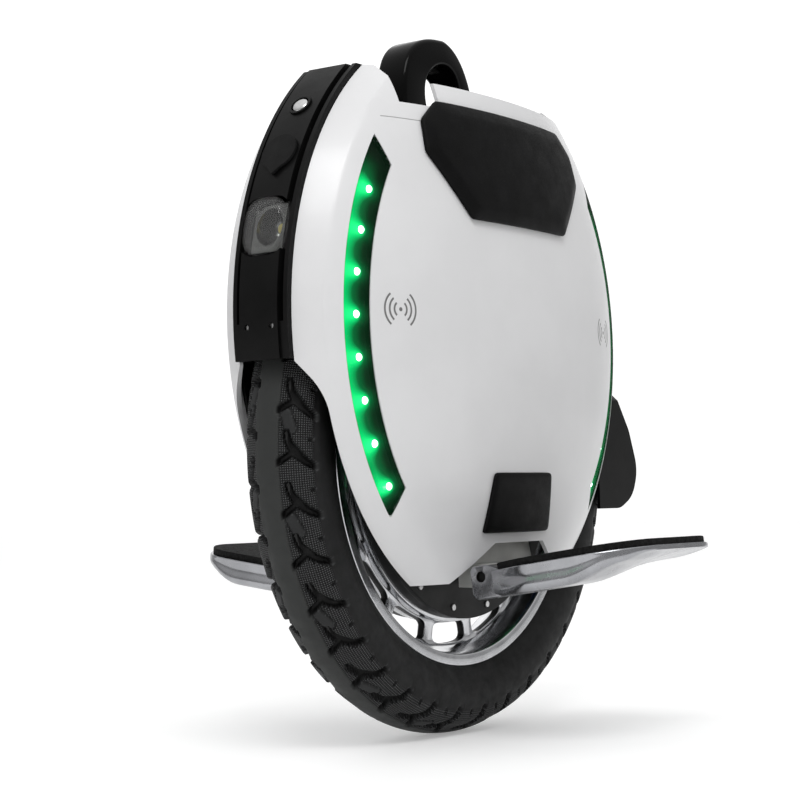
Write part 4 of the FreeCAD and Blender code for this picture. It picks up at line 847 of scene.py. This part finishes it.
def tread_relief(v, s):
    """The depth in mm, and the marks for the rubber, at distances across and along the tread."""
    out = np.abs(v)
    index = np.floor(s / BLOCK)
    local = s - index * BLOCK
    deep, lens_block = np.zeros_like(v), np.zeros_like(v)
    for shift in (-1, 0, 1):
        here = local - shift * BLOCK
        has_lens = (index + shift) % 2 == 1
        half = 3.0 + 1.2 * (1 - ease(0, 10, np.hypot(out - KNOT, here))) - 0.3 * ease(28, 40, out)
        notch = np.hypot((out - NOTCH[0]) / 3.0, (here - NOTCH[1]) / 1.5)
        lens = distance_to_path(out, here, LENS)
        line = 1 - ease(0.4, 1.0, np.abs(lens - LENS_HALF))
        for cut in (MAIN_DEEP * (1 - ease(half - 0.8, half + 0.8, distance_to_path(out, here, MAIN))),
                    HOOK_DEEP * (1 - ease(1.9, 3.5, distance_to_path(out, here, HOOK))),
                    NOTCH_DEEP * (1 - ease(0.7, 1.2, notch)),
                    np.where(has_lens, LENS_DEEP * line, 0.0)):
            deep = np.maximum(deep, cut)
        lens_block = np.maximum(lens_block, np.where(has_lens, 1 - ease(4.2, 5.0, lens), 0.0))
    beside_rib = ease(10.5, 12.5, out)
    tread = beside_rib * (1 - ease(36, 38.5, out))
    groove = deep * (1 - ease(39, 42, out)) * ease(8.5, 10.0, out)
    depth = groove + LEDGE * (ease(10.6, 11.8, out) - ease(40, 42, out))
    for place, sunk in SIDEWALL_LINES:
        depth += sunk * (1 - ease(0.25, 0.6, np.abs(out - place)))
    marks = {
        "mesh_pad": tread * (1 - lens_block) * (1 - ease(0.2, 1.2, deep)),
        # The middle rib, painted lighter.
        "lighter_rib": (1 - beside_rib) * 0.9,
        # The grooves, painted near black: painted shade in the recess.
        "groove": ease(0.8, 3.2, groove),
        # The smooth lens blocks, painted lighter: a painted sheen.
        "lens_block": lens_block * tread,
        # A painted highlight along the grooves' edges.
        "edge_highlight": ease(0.1, 0.5, groove) * (1 - ease(0.7, 2.0, groove)),
    }
    return depth, marks


# %% The tyre's mesh
PER_GROOVE, CROWN_POINTS, WALL_POINTS = 30, 76, 16
CROWN_EDGE, BEAD = math.radians(72), math.radians(136)
# The tread's shoulders stand a little proud of a round section: how much, where and how broadly.
SHOULDER_RISE, SHOULDER_AT, SHOULDER_SPREAD = 2.6, math.radians(54), math.radians(17)


def unroll(mesh, along, v, count):
    """Lays the tread out flat as a UV map in mm, without a jump at the last row."""
    corner = np.empty(len(mesh.loops), np.int32)
    mesh.loops.foreach_get("vertex_index", corner)
    around = along.reshape(-1)[corner].reshape(-1, 4)
    row = corner.reshape(-1, 4) // count
    wraps = (row.max(1) - row.min(1)) > 1
    around[wraps] = np.where(around[wraps] < BLOCK, around[wraps] + GROOVES * BLOCK, around[wraps])
    flat = np.stack((around.reshape(-1), v.reshape(-1)[corner]), -1)
    layer = mesh.uv_layers.new(name="tread")
    layer.data.foreach_set("uv", flat.reshape(-1).astype(np.float32))


def make_tyre():
    steps = GROOVES * PER_GROOVE
    section = np.concatenate((np.linspace(-BEAD, -CROWN_EDGE, WALL_POINTS, endpoint=False),
                              np.linspace(-CROWN_EDGE, CROWN_EDGE, CROWN_POINTS),
                              np.linspace(CROWN_EDGE, BEAD, WALL_POINTS + 1)[1:]))
    t, q = np.meshgrid(section, np.arange(steps) * 2 * math.pi / steps)
    v = t * TYRE_MINOR
    along = q / (2 * math.pi) * GROOVES * BLOCK
    depth, marks = tread_relief(v, np.where(v > 0, 0.0, BLOCK / 2) - along)
    shoulders = SHOULDER_RISE * np.exp(-((np.abs(t) - SHOULDER_AT) / SHOULDER_SPREAD) ** 2)
    minor = TYRE_MINOR + shoulders - depth
    radius = TYRE_MAJOR + minor * np.cos(t)
    points = np.stack((radius * np.cos(q), minor * np.sin(t), AXLE_Z + radius * np.sin(q)), -1)
    count = len(section)
    a = np.arange(steps)[:, None] * count + np.arange(count)[None, :]
    b = np.roll(a, -1, axis=0)
    quads = np.stack((a[:, :-1], a[:, 1:], b[:, 1:], b[:, :-1]), -1).reshape(-1, 4)
    inside = np.stack((a[:, -1], a[:, 0], b[:, 0], b[:, -1]), -1)
    mesh = bpy.data.meshes.new("tyre_tread")
    mesh.from_pydata((points.reshape(-1, 3) * MM).tolist(), [], np.concatenate((quads, inside)).tolist())
    mesh.shade_smooth()
    mesh.materials.append(MAT["tyre"])
    for label, values in marks.items():
        mark = mesh.attributes.new(label, "FLOAT", "POINT")
        mark.data.foreach_set("value", values.reshape(-1).astype(np.float32))
    unroll(mesh, along, v, count)
    face_outward(mesh)
    add_piece("tyre_tread", mesh, "wheel", "tyre", "tyre")
    print("tyre:", len(mesh.vertices), "vertices, deepest groove", round(float(depth.max()), 1), "mm")


make_tyre()

# %% [markdown]
# ## The rim
#
# The rim is a casting: a broad turned lip, a barrel that slopes in to a thin plate with sixteen windows,
# and a narrow ring round the motor. The window walls and the motor's side are black. Booleans would cut
# the windows too, but leave no edge to round. Here each window is a sector of its own, with rings of points
# from the sector's border in to the rounded window and through to the other face.

# %% Rings turned about the axle
SPOKES, RIM_AROUND = 16, 16 * 20
ALLOY, BLACK = 0, 1
LIP_AND_BARREL = [(170.5, 20.0), (176.9, 20.0), (177.0, 23.5), (176.5, 24.0), (172.0, 23.8), (168.8, 23.5),
                  (168.0, 23.2), (167.3, 22.4), (165.2, 17.0), (162.6, 11.0), (160.6, 6.0), (160.1, 2.0)]
TYRE_SEAT = [(166, -10), (166, 10)]
MOTOR_RING = [(131.5, 12.5), (139.7, 12.5), (140.4, 12.2), (140.7, 11.5), (140.7, 6.0)]
MOTOR_SIDE = [(131.5, 12.5), (137.8, 12.5), (137.8, 20.9), (131.5, 20.9)]
rim_points, rim_faces, rim_finish = [], [], []


def about_axle(r, turn, y):
    return (r * math.cos(turn) * MM, y * MM, (AXLE_Z + r * math.sin(turn)) * MM)


def add_rim_faces(rings, paint_index):
    added = strips(rings)
    rim_faces.extend(added)
    rim_finish.extend([paint_index] * len(added))


def turned(profile, paint_index):
    """A closed profile of (radius, y) turned about the axle."""
    rings = []
    for r, y in profile:
        add_ring(rim_points, rings, [about_axle(r, t, y) for t in circle(RIM_AROUND)])
    add_rim_faces(rings + rings[:1], paint_index)


def mirrored(half):
    return half + [(r, -y) for r, y in reversed(half)]


turned(mirrored(LIP_AND_BARREL) + TYRE_SEAT, ALLOY)
turned(mirrored(MOTOR_RING), ALLOY)
for side, word in SIDES:
    turned([(r, y * side) for r, y in MOTOR_SIDE], BLACK)
print("turned rings:", len(rim_faces), "faces")

# %% The plate with its windows
HALF_SECTOR = math.pi / SPOKES
WINDOW_R, WINDOW_TALL, WINDOW_WIDE, WINDOW_TAPER, WINDOW_POWER = 150.2, 8.6, 23.6, 0.19, 2 / 4.2
PLATE_R, PLATE_TALL = 150.4, 10.9
# From the sector's border in to the window: how much the window's outline is grown, and y.
PLATE_LAYERS = [(None, 4.2), (1.1, 4.0), (0.25, 3.6), (0.0, 2.9)]
WALL_STRIP = len(PLATE_LAYERS) - 1


def rounded(v, power):
    return math.copysign(abs(v) ** power, v)


def window(t, grow):
    """A point of the window's outline, a rounded trapezoid, as angle, radius and lift."""
    r = WINDOW_R + (WINDOW_TALL + grow) * rounded(math.sin(t), WINDOW_POWER)
    arc = (WINDOW_WIDE + WINDOW_TAPER * (r - WINDOW_R) + grow) * rounded(math.cos(t), WINDOW_POWER)
    return arc / r, r, 0.0


def border(t):
    """The point of the sector's border in the same direction. It is lifted where it meets the rings."""
    c, q = math.cos(t), math.sin(t)
    k = 1 / max(abs(c), abs(q))
    r = PLATE_R + PLATE_TALL * k * q
    return HALF_SECTOR * k * c, r, 1.6 * max(0.0, abs(r - PLATE_R) - 8.5) / 2.4


for i in range(SPOKES):
    middle = 2 * HALF_SECTOR * i
    rings = []
    for grow, y in mirrored(PLATE_LAYERS):
        outline = [border(t) if grow is None else window(t, grow) for t in circle(48)]
        add_ring(rim_points, rings, [about_axle(r, middle + angle, y + math.copysign(lift, y))
                                     for angle, r, lift in outline])
    for k, pair in enumerate(zip(rings, rings[1:])):
        add_rim_faces(pair, BLACK if k == WALL_STRIP else ALLOY)
rim_mesh = build_mesh("rim_cast", rim_points, rim_faces, MAT["polished_alloy"], 38)
rim_mesh.materials.append(MAT["black_metal"])
rim_mesh.polygons.foreach_set("material_index", rim_finish)
add_piece("rim_cast", rim_mesh, "wheel", "polished_alloy", "rim")
print("rim:", len(rim_faces), "faces,", SPOKES, "windows")

# %% [markdown]
# ## The pedals
#
# Each pedal is one casting: a deck that is deep along its front edge and thins out behind and outward, and
# two knuckles on the pin. Its front wall is hollowed, which is what the photograph shows most of. It is
# drawn flat about the pin, row by row outward, since formulas for length and depth are simple there, and
# every point is then tilted up by the same angle as the CAD pedal.

# %% The deck's measures
PIVOT = (-10.0, 78.0, 132.0)
TILT = math.radians(8)
DECK_TOP, DECK_FROM, DECK_TO, DECK_ROWS = 3.4, 11.5, 142.8, 44
TIP_RADIUS, TIP_FROM = 50, 93.5


def pedal_point(x, v, z, side):
    """From the pedal's own directions to the model's, in metres."""
    y = PIVOT[1] + v * math.cos(TILT) - z * math.sin(TILT)
    return ((PIVOT[0] + x) * MM, side * y * MM, (PIVOT[2] + v * math.sin(TILT) + z * math.cos(TILT)) * MM)


def pedal_half(v):
    """Half the deck's length at a distance from the pin."""
    half = 72 + 16.5 * ease(4, 52, v) - 3.5 * ease(52, 143, v)
    return half - (TIP_RADIUS - math.sqrt(max(0.0, TIP_RADIUS ** 2 - max(0.0, v - TIP_FROM) ** 2)))


def pedal_depth(x, v):
    """How low the deck's underside is."""
    front = -18 + 12.5 * ease(84, 134, v) + 5.0 * ease(128, 143, v)
    rear = -9.5 + 5.5 * ease(10, 80, v) + 3.5 * ease(90, 143, v)
    return rear + (front - rear) * ease(-50, 50, x)


print("deck's length where it is broadest:", round(float(2 * pedal_half(52)), 1), "mm")

# %% The deck's section


def deck_wall(half, low, v):
    """One end of the section, from its top corner down its hollow wall to the rounded underside."""
    tall = DECK_TOP - low
    turn = min(6.0, tall * 0.45)
    hollow = 2.4 * ease(14, 40, v) * (1 - ease(96, 120, v)) * ease(8, 16, tall)
    wall = [(half - 0.6, DECK_TOP - 0.2), (half, DECK_TOP - 0.9)]
    for k in range(1, 7):
        wall.append((half - hollow * math.sin(math.pi * k / 6) ** 2,
                     DECK_TOP - 0.9 - (tall - 0.9 - turn) * k / 6))
    for a in (math.radians(d) for d in (18, 36, 54, 72, 90)):
        wall.append((half - turn + turn * math.cos(a), low + turn - turn * math.sin(a)))
    return wall, turn


def deck_section(v):
    """The outline at a distance from the pin: top, front wall, underside and rear wall."""
    half = pedal_half(v)
    front, turn = deck_wall(half, pedal_depth(half, v), v)
    rear, _ = deck_wall(half, pedal_depth(-half, v), v)
    inner = half - turn - 0.5
    under = [inner - 2 * inner * k / 22 for k in range(1, 22)]
    top = [(-half + 2.0 + (2 * half - 4.0) * k / 14, DECK_TOP) for k in range(15)]
    return top + front + [(x, pedal_depth(x, v)) for x in under] + [(-x, z) for x, z in reversed(rear)]


# %% The knuckles, and both castings
FRONT_KNUCKLE = [(-9.4, 6.0), (-6.5, 9.0), (7.0, 9.0), (20.0, 3.2), (22.0, -12.0), (18.0, -17.8),
                 (-6.0, -17.8), (-9.4, -14.0)]
REAR_KNUCKLE = [(-9.4, 6.0), (-6.5, 9.0), (7.0, 9.0), (20.0, 3.2), (20.0, -6.0), (8.0, -10.0),
                (-6.5, -10.0), (-9.4, -6.5)]
PIN_HOLE = 4.4
# From the bottom of the pin hole out, over the face and back: share of the outline (None: hole), and x.
KNUCKLE_LAYERS = [(None, 68.6), (None, 71.6), (0.9, 72.4), (0.97, 72.0), (1.0, 70.9), (1.0, 51.2),
                  (0.97, 50.2), (None, 50.1)]


def make_pedal(word, side):
    points, rings = [], []
    for k in range(DECK_ROWS + 1):
        v = DECK_FROM + (DECK_TO - DECK_FROM) * (k / DECK_ROWS)
        add_ring(points, rings, [pedal_point(x, v, z, side) for x, z in deck_section(v)])
    faces, dark = capped(rings), []
    turns = circle(56)
    for end, corners in ((1, FRONT_KNUCKLE), (-1, REAR_KNUCKLE)):
        reach = polygon_reach(corners, (0, 0), 40)
        knuckle = []
        for share, x in KNUCKLE_LAYERS:
            loop = [(t, PIN_HOLE if share is None else share * reach(t, 0.0)) for t in turns]
            add_ring(points, knuckle, [pedal_point(end * x, r * math.cos(t), r * math.sin(t), side)
                                       for t, r in loop])
        # The pin hole's wall and floor take the black finish: painted shade in the hole.
        dark += range(len(faces), len(faces) + len(turns))
        faces += strips(knuckle)
        dark.append(len(faces))
        faces.append(tuple(knuckle[0]))
    mesh = build_mesh(word + "_pedal_cast", points, faces, MAT["cast_alloy"], 42)
    # The black finish here is painted shade in the pin hole.
    mesh.materials.append(MAT["black_metal"])
    for i in dark:
        mesh.polygons[i].material_index = 1
    add_piece(word + "_pedal_cast", mesh, word + "_pedal", "cast_alloy", word + "_pedal")
    print(word, "pedal:", len(mesh.vertices), "vertices")


for side, word in SIDES:
    make_pedal(word, side)

# %% [markdown]
# ## The power button
#
# A bright metal dome sits in a dark ring near the top of the front panel. The panel's raised slab is
# curved, so the button leans with it. It is turned from a profile, like a piece on a lathe, about the
# slab's normal at its own height. A Screw modifier would do the same, but only about one of its own axes.

# %% Turn the button's dome
SLAB = (238.0, 259.0)
BUTTON_Z = 503.4
BUTTON_PROFILE = [(6.9, -7.0), (6.9, 0.4), (6.7, 0.8), (6.2, 1.3), (5.2, 1.9), (3.9, 2.3), (2.4, 2.5),
                  (0.8, 2.58)]


def on_slab(z):
    """A point on the slab's face at a height, and its outward normal."""
    length, height = SLAB
    rise = z - DOME_Z
    x = oval(rise, length, height)
    normal = Vector((x / length ** 2, 0, rise / height ** 2)).normalized()
    return Vector((x, 0, z)) * MM, normal


def turn_about(name, profile, place, normal, material):
    """A turned piece: rings of (radius, height in mm) about a normal."""
    across = Vector((0, 1, 0))
    along = normal.cross(across)
    points, rings = [], []
    for r, h in profile:
        ways = [across * math.cos(t) + along * math.sin(t) for t in circle(48)]
        add_ring(points, rings, [tuple(place + normal * h * MM + way * r * MM) for way in ways])
    return build_mesh(name, points, capped(rings), material, 40)


button_mesh = turn_about("power_button_dome", BUTTON_PROFILE, *on_slab(BUTTON_Z), MAT["button_metal"])
add_piece("power_button_dome", button_mesh, "power_button", "button_metal", "power_button")
print("power button at", [round(v, 4) for v in on_slab(BUTTON_Z)[0]])

# %% [markdown]
# ## The headlight's and the tail light's bubbles
#
# A clear moulding in front, and a red one behind, bulge a little from the slab over each reflector. The
# outline is a superellipse, between an oval and a rectangle, as the photograph shows. The bubble is a
# closed skin with an inside and an outside, so that it can be seen through without showing a hollow.

# %% Make the two bubbles
LAMP_Z, LAMP_ACROSS, LAMP_UP, LAMP_POWER = 404.0, 18.1, 22.5, 2 / 3.2
# Each ring: share of the outline, and rise over the slab; first the outside, then the inside.
BUBBLE_OUTER = [(1.0, -6.8), (1.0, 0.2), (0.985, 1.5), (0.95, 2.8), (0.88, 3.9), (0.75, 4.7), (0.55, 5.3),
                (0.3, 5.6), (0.05, 5.65)]
BUBBLE_INNER = [(0.05, 4.2), (0.3, 4.1), (0.55, 3.8), (0.75, 3.2), (0.86, 2.2), (0.91, 0.8), (0.93, -6.8)]


def make_bubble(name, ahead, material, slot, replaced):
    points, rings = [], []
    for share, rise in BUBBLE_OUTER + BUBBLE_INNER:
        ring = []
        for t in circle(64):
            y = share * LAMP_ACROSS * rounded(math.cos(t), LAMP_POWER)
            place, normal = on_slab(LAMP_Z + share * LAMP_UP * rounded(math.sin(t), LAMP_POWER))
            at = place + normal * rise * MM
            ring.append((at.x * ahead, y * MM, at.z))
        add_ring(points, rings, ring)
    mesh = build_mesh(name, points, strips(rings + rings[:1]), material, 50)
    add_piece(name, mesh, "body", slot, replaced)
    print(name, "is", round(2 * LAMP_UP), "mm high")


make_bubble("headlight_bubble", 1, MAT["clear_lens"], "clear_lens", "headlight_lens")
make_bubble("tail_light_bubble", -1, MAT["red_lens"], "red_lens", "tail_light_lens")

# %% [markdown]
# ## The lift handle
#
# The handle is an arch of glossy black plastic with a slim rear leg and a broad front leg that leans
# forward. A curve with a bevel would give it one section all along. Instead rounded sections of changing
# thickness and width are set from the rear foot to the front foot. Under the top they leave open the
# pocket in which the lift button moves.

# %% The arch from foot to foot
HANDLE_X, SHOULDER, DECK, FOOT_GAP = 2.0, 535.0, 506.0, 0.1
EYE, ARCH, FRONT_REACH = 27.5, 50, 58.5
LEG_STEPS, TURN_STEPS = 8, 48
POCKET_END = math.asin(9.6 / EYE) / math.pi
POCKET_TOP, POCKET_HALF = 34.5, 5.1


def handle_section(place, s):
    """The inner and outer point at a place along the arch, in mm: rear leg, turn or front leg."""
    if place == "rear":
        z = DECK + FOOT_GAP + (SHOULDER - DECK) * s
        return (HANDLE_X - EYE, z), (HANDLE_X - ARCH, z)
    if place == "front":
        z = SHOULDER - (SHOULDER - DECK - FOOT_GAP) * s
        return (HANDLE_X + 26.0 - 5.5 * ease(0, 1, s), z), (HANDLE_X + FRONT_REACH, z)
    a = math.pi * s
    inner = EYE - 1.5 * ease(0.8, 1, s)
    outer = ARCH - 4.5 * max(0.0, math.sin(2 * a)) + 8.5 * ease(0.52, 0.84, s)
    return tuple((HANDLE_X - r * math.cos(a), SHOULDER + r * math.sin(a)) for r in (inner, outer))


def handle_stations():
    """Places along the arch, with two close together at each end of the pocket."""
    ends = {0.5 + sign * (POCKET_END + nudge) for sign in (1, -1) for nudge in (0.0, 0.002)}
    turn = sorted({k / TURN_STEPS for k in range(1, TURN_STEPS)} | ends)
    leg = [k / LEG_STEPS for k in range(LEG_STEPS + 1)]
    return [("rear", s) for s in leg] + [("turn", s) for s in turn] + [("front", s) for s in leg]


print("handle's stations:", len(handle_stations()))

# %% Make the handle and its foot plate
EDGE, GRIP_HALF = 4.0, 17
PLATE_HALF, PLATE_LEVELS = (30, 15), ((0.1, 0.0), (6.6, 0.0), (7.0, 0.4))


def handle_loop(place, s, x, thick):
    """A rounded section with the pocket's slot in its inner side, as (y, distance from the inner side)."""
    wide = GRIP_HALF - (x - HANDLE_X) ** 2 / (320 if x < HANDLE_X else 900)
    inside = place == "turn" and abs(s - 0.5) <= POCKET_END + 1e-6
    pocket = POCKET_TOP / math.cos(math.pi * (s - 0.5)) - EYE if inside else 0.0
    loop = [(-POCKET_HALF, 0), (-POCKET_HALF, pocket), (POCKET_HALF, pocket), (POCKET_HALF, 0)]
    for y0, r0, first in ((wide - EDGE, EDGE, -90), (wide - EDGE, thick - EDGE, 0),
                          (EDGE - wide, thick - EDGE, 90), (EDGE - wide, EDGE, 180)):
        for k in range(5):
            a = math.radians(first + 22.5 * k)
            loop.append((y0 + EDGE * math.cos(a), r0 + EDGE * math.sin(a)))
    return loop


def make_handle():
    points, rings, plate = [], [], []
    for place, s in handle_stations():
        low, high = handle_section(place, s)
        dx, dz = high[0] - low[0], high[1] - low[1]
        thick = math.hypot(dx, dz)
        dx, dz = dx / thick, dz / thick
        loop = handle_loop(place, s, (low[0] + high[0]) / 2, thick)
        add_ring(points, rings, [((low[0] + dx * r) * MM, y * MM, (low[1] + dz * r) * MM) for y, r in loop])
    length, width = PLATE_HALF
    for z, inset in PLATE_LEVELS:
        corners = [(HANDLE_X + a * length, b * (width - inset)) for a, b in SQUARE]
        add_ring(points, plate, [(x * MM, y * MM, (DECK + z) * MM) for x, y in corners])
    mesh = build_mesh("lift_handle_moulded", points, capped(rings) + capped(plate), MAT["gloss_black"], 40)
    add_piece("lift_handle_moulded", mesh, "body", "gloss_black", "lift_handle")
    print("lift handle:", len(mesh.vertices), "vertices")


make_handle()

# %% [markdown]
# ## The stage
#
# The photograph is a catalogue picture: white all round, with a soft light from above and hardly a shadow.
# A white room of lamps would do it with much tuning. Here a sky that is brighter above and behind lights
# the object, one large soft lamp gives it form, and the pale floor shines a little for the camera and in
# reflections, so that it melts into the white without lighting the object from below.

# %% The floor
FLOOR_HALF, FLOOR_SHINE = 14.0, 0.29
WHITE = (1, 1, 1, 1)


def make_floor():
    mesh = bpy.data.meshes.new("floor")
    corners = [(a * FLOOR_HALF, b * FLOOR_HALF, 0) for a, b in SQUARE]
    mesh.from_pydata(corners, [], [(0, 1, 2, 3)])
    floor = bpy.data.objects.new("floor", mesh)
    scene.collection.objects.link(floor)
    m = surface("floor_paint", grey(0.86), grey(0.84), (0.55, 0.7), 2.0, 3.0, (300.0, 0.02, 0.0001))
    tree, shader, _ = parts_of(m)
    ray = new_node(tree, "LightPath").outputs
    seen = math_node(tree, "ADD", math_node(tree, "ADD", ray["Is Camera Ray"], ray["Is Glossy Ray"]),
                     ray["Is Transmission Ray"])
    tree.links.new(math_node(tree, "MULTIPLY", seen, FLOOR_SHINE), shader.inputs["Emission Strength"])
    shader.inputs["Emission Color"].default_value = WHITE
    paint(floor, m)
    print("floor:", 2 * FLOOR_HALF, "m across")


make_floor()

# %% The sky and the soft lamp
SKY_LEVEL, SKY_ABOVE = 0.28, 0.70
BACKDROP_WAY, BACKDROP_FROM, BACKDROP_TO, BACKDROP_LEVEL = (-0.82, -0.57), 0.70, 0.96, 0.80


def make_sky():
    world = bpy.data.worlds.new("studio")
    scene.world = world
    world.use_nodes = True
    tree = world.node_tree
    calc = partial(math_node, tree)
    x, y, z = split(tree, new_node(tree, "TexCoord").outputs["Generated"])
    sky = calc("MULTIPLY_ADD", calc("MAXIMUM", z, 0.0), SKY_ABOVE, SKY_LEVEL)
    behind = calc("MULTIPLY_ADD", x, BACKDROP_WAY[0], calc("MULTIPLY", y, BACKDROP_WAY[1]))
    backdrop = map_range(tree, behind, BACKDROP_FROM, BACKDROP_TO, 0.0, BACKDROP_LEVEL, "SMOOTHSTEP")
    ray = new_node(tree, "LightPath").outputs
    level = calc("MAXIMUM", calc("ADD", backdrop, sky), ray["Is Camera Ray"])
    back = tree.nodes["Background"]
    tree.links.new(level, back.inputs["Strength"])
    back.inputs["Color"].default_value = WHITE


def soft_lamp(name, place, target, size, power):
    data = bpy.data.lights.new(name, "AREA")
    data.shape = "RECTANGLE"
    data.size, data.size_y = size
    data.energy = power
    lamp = bpy.data.objects.new(name, data)
    lamp.location = place
    lamp.rotation_euler = (Vector(target) - Vector(place)).to_track_quat("-Z", "Y").to_euler()
    scene.collection.objects.link(lamp)
    print(name, "lamp:", power, "W")


make_sky()
soft_lamp("key", (1.4, 1.2, 2.3), (0, 0, 0.35), (1.3, 1.0), 24)
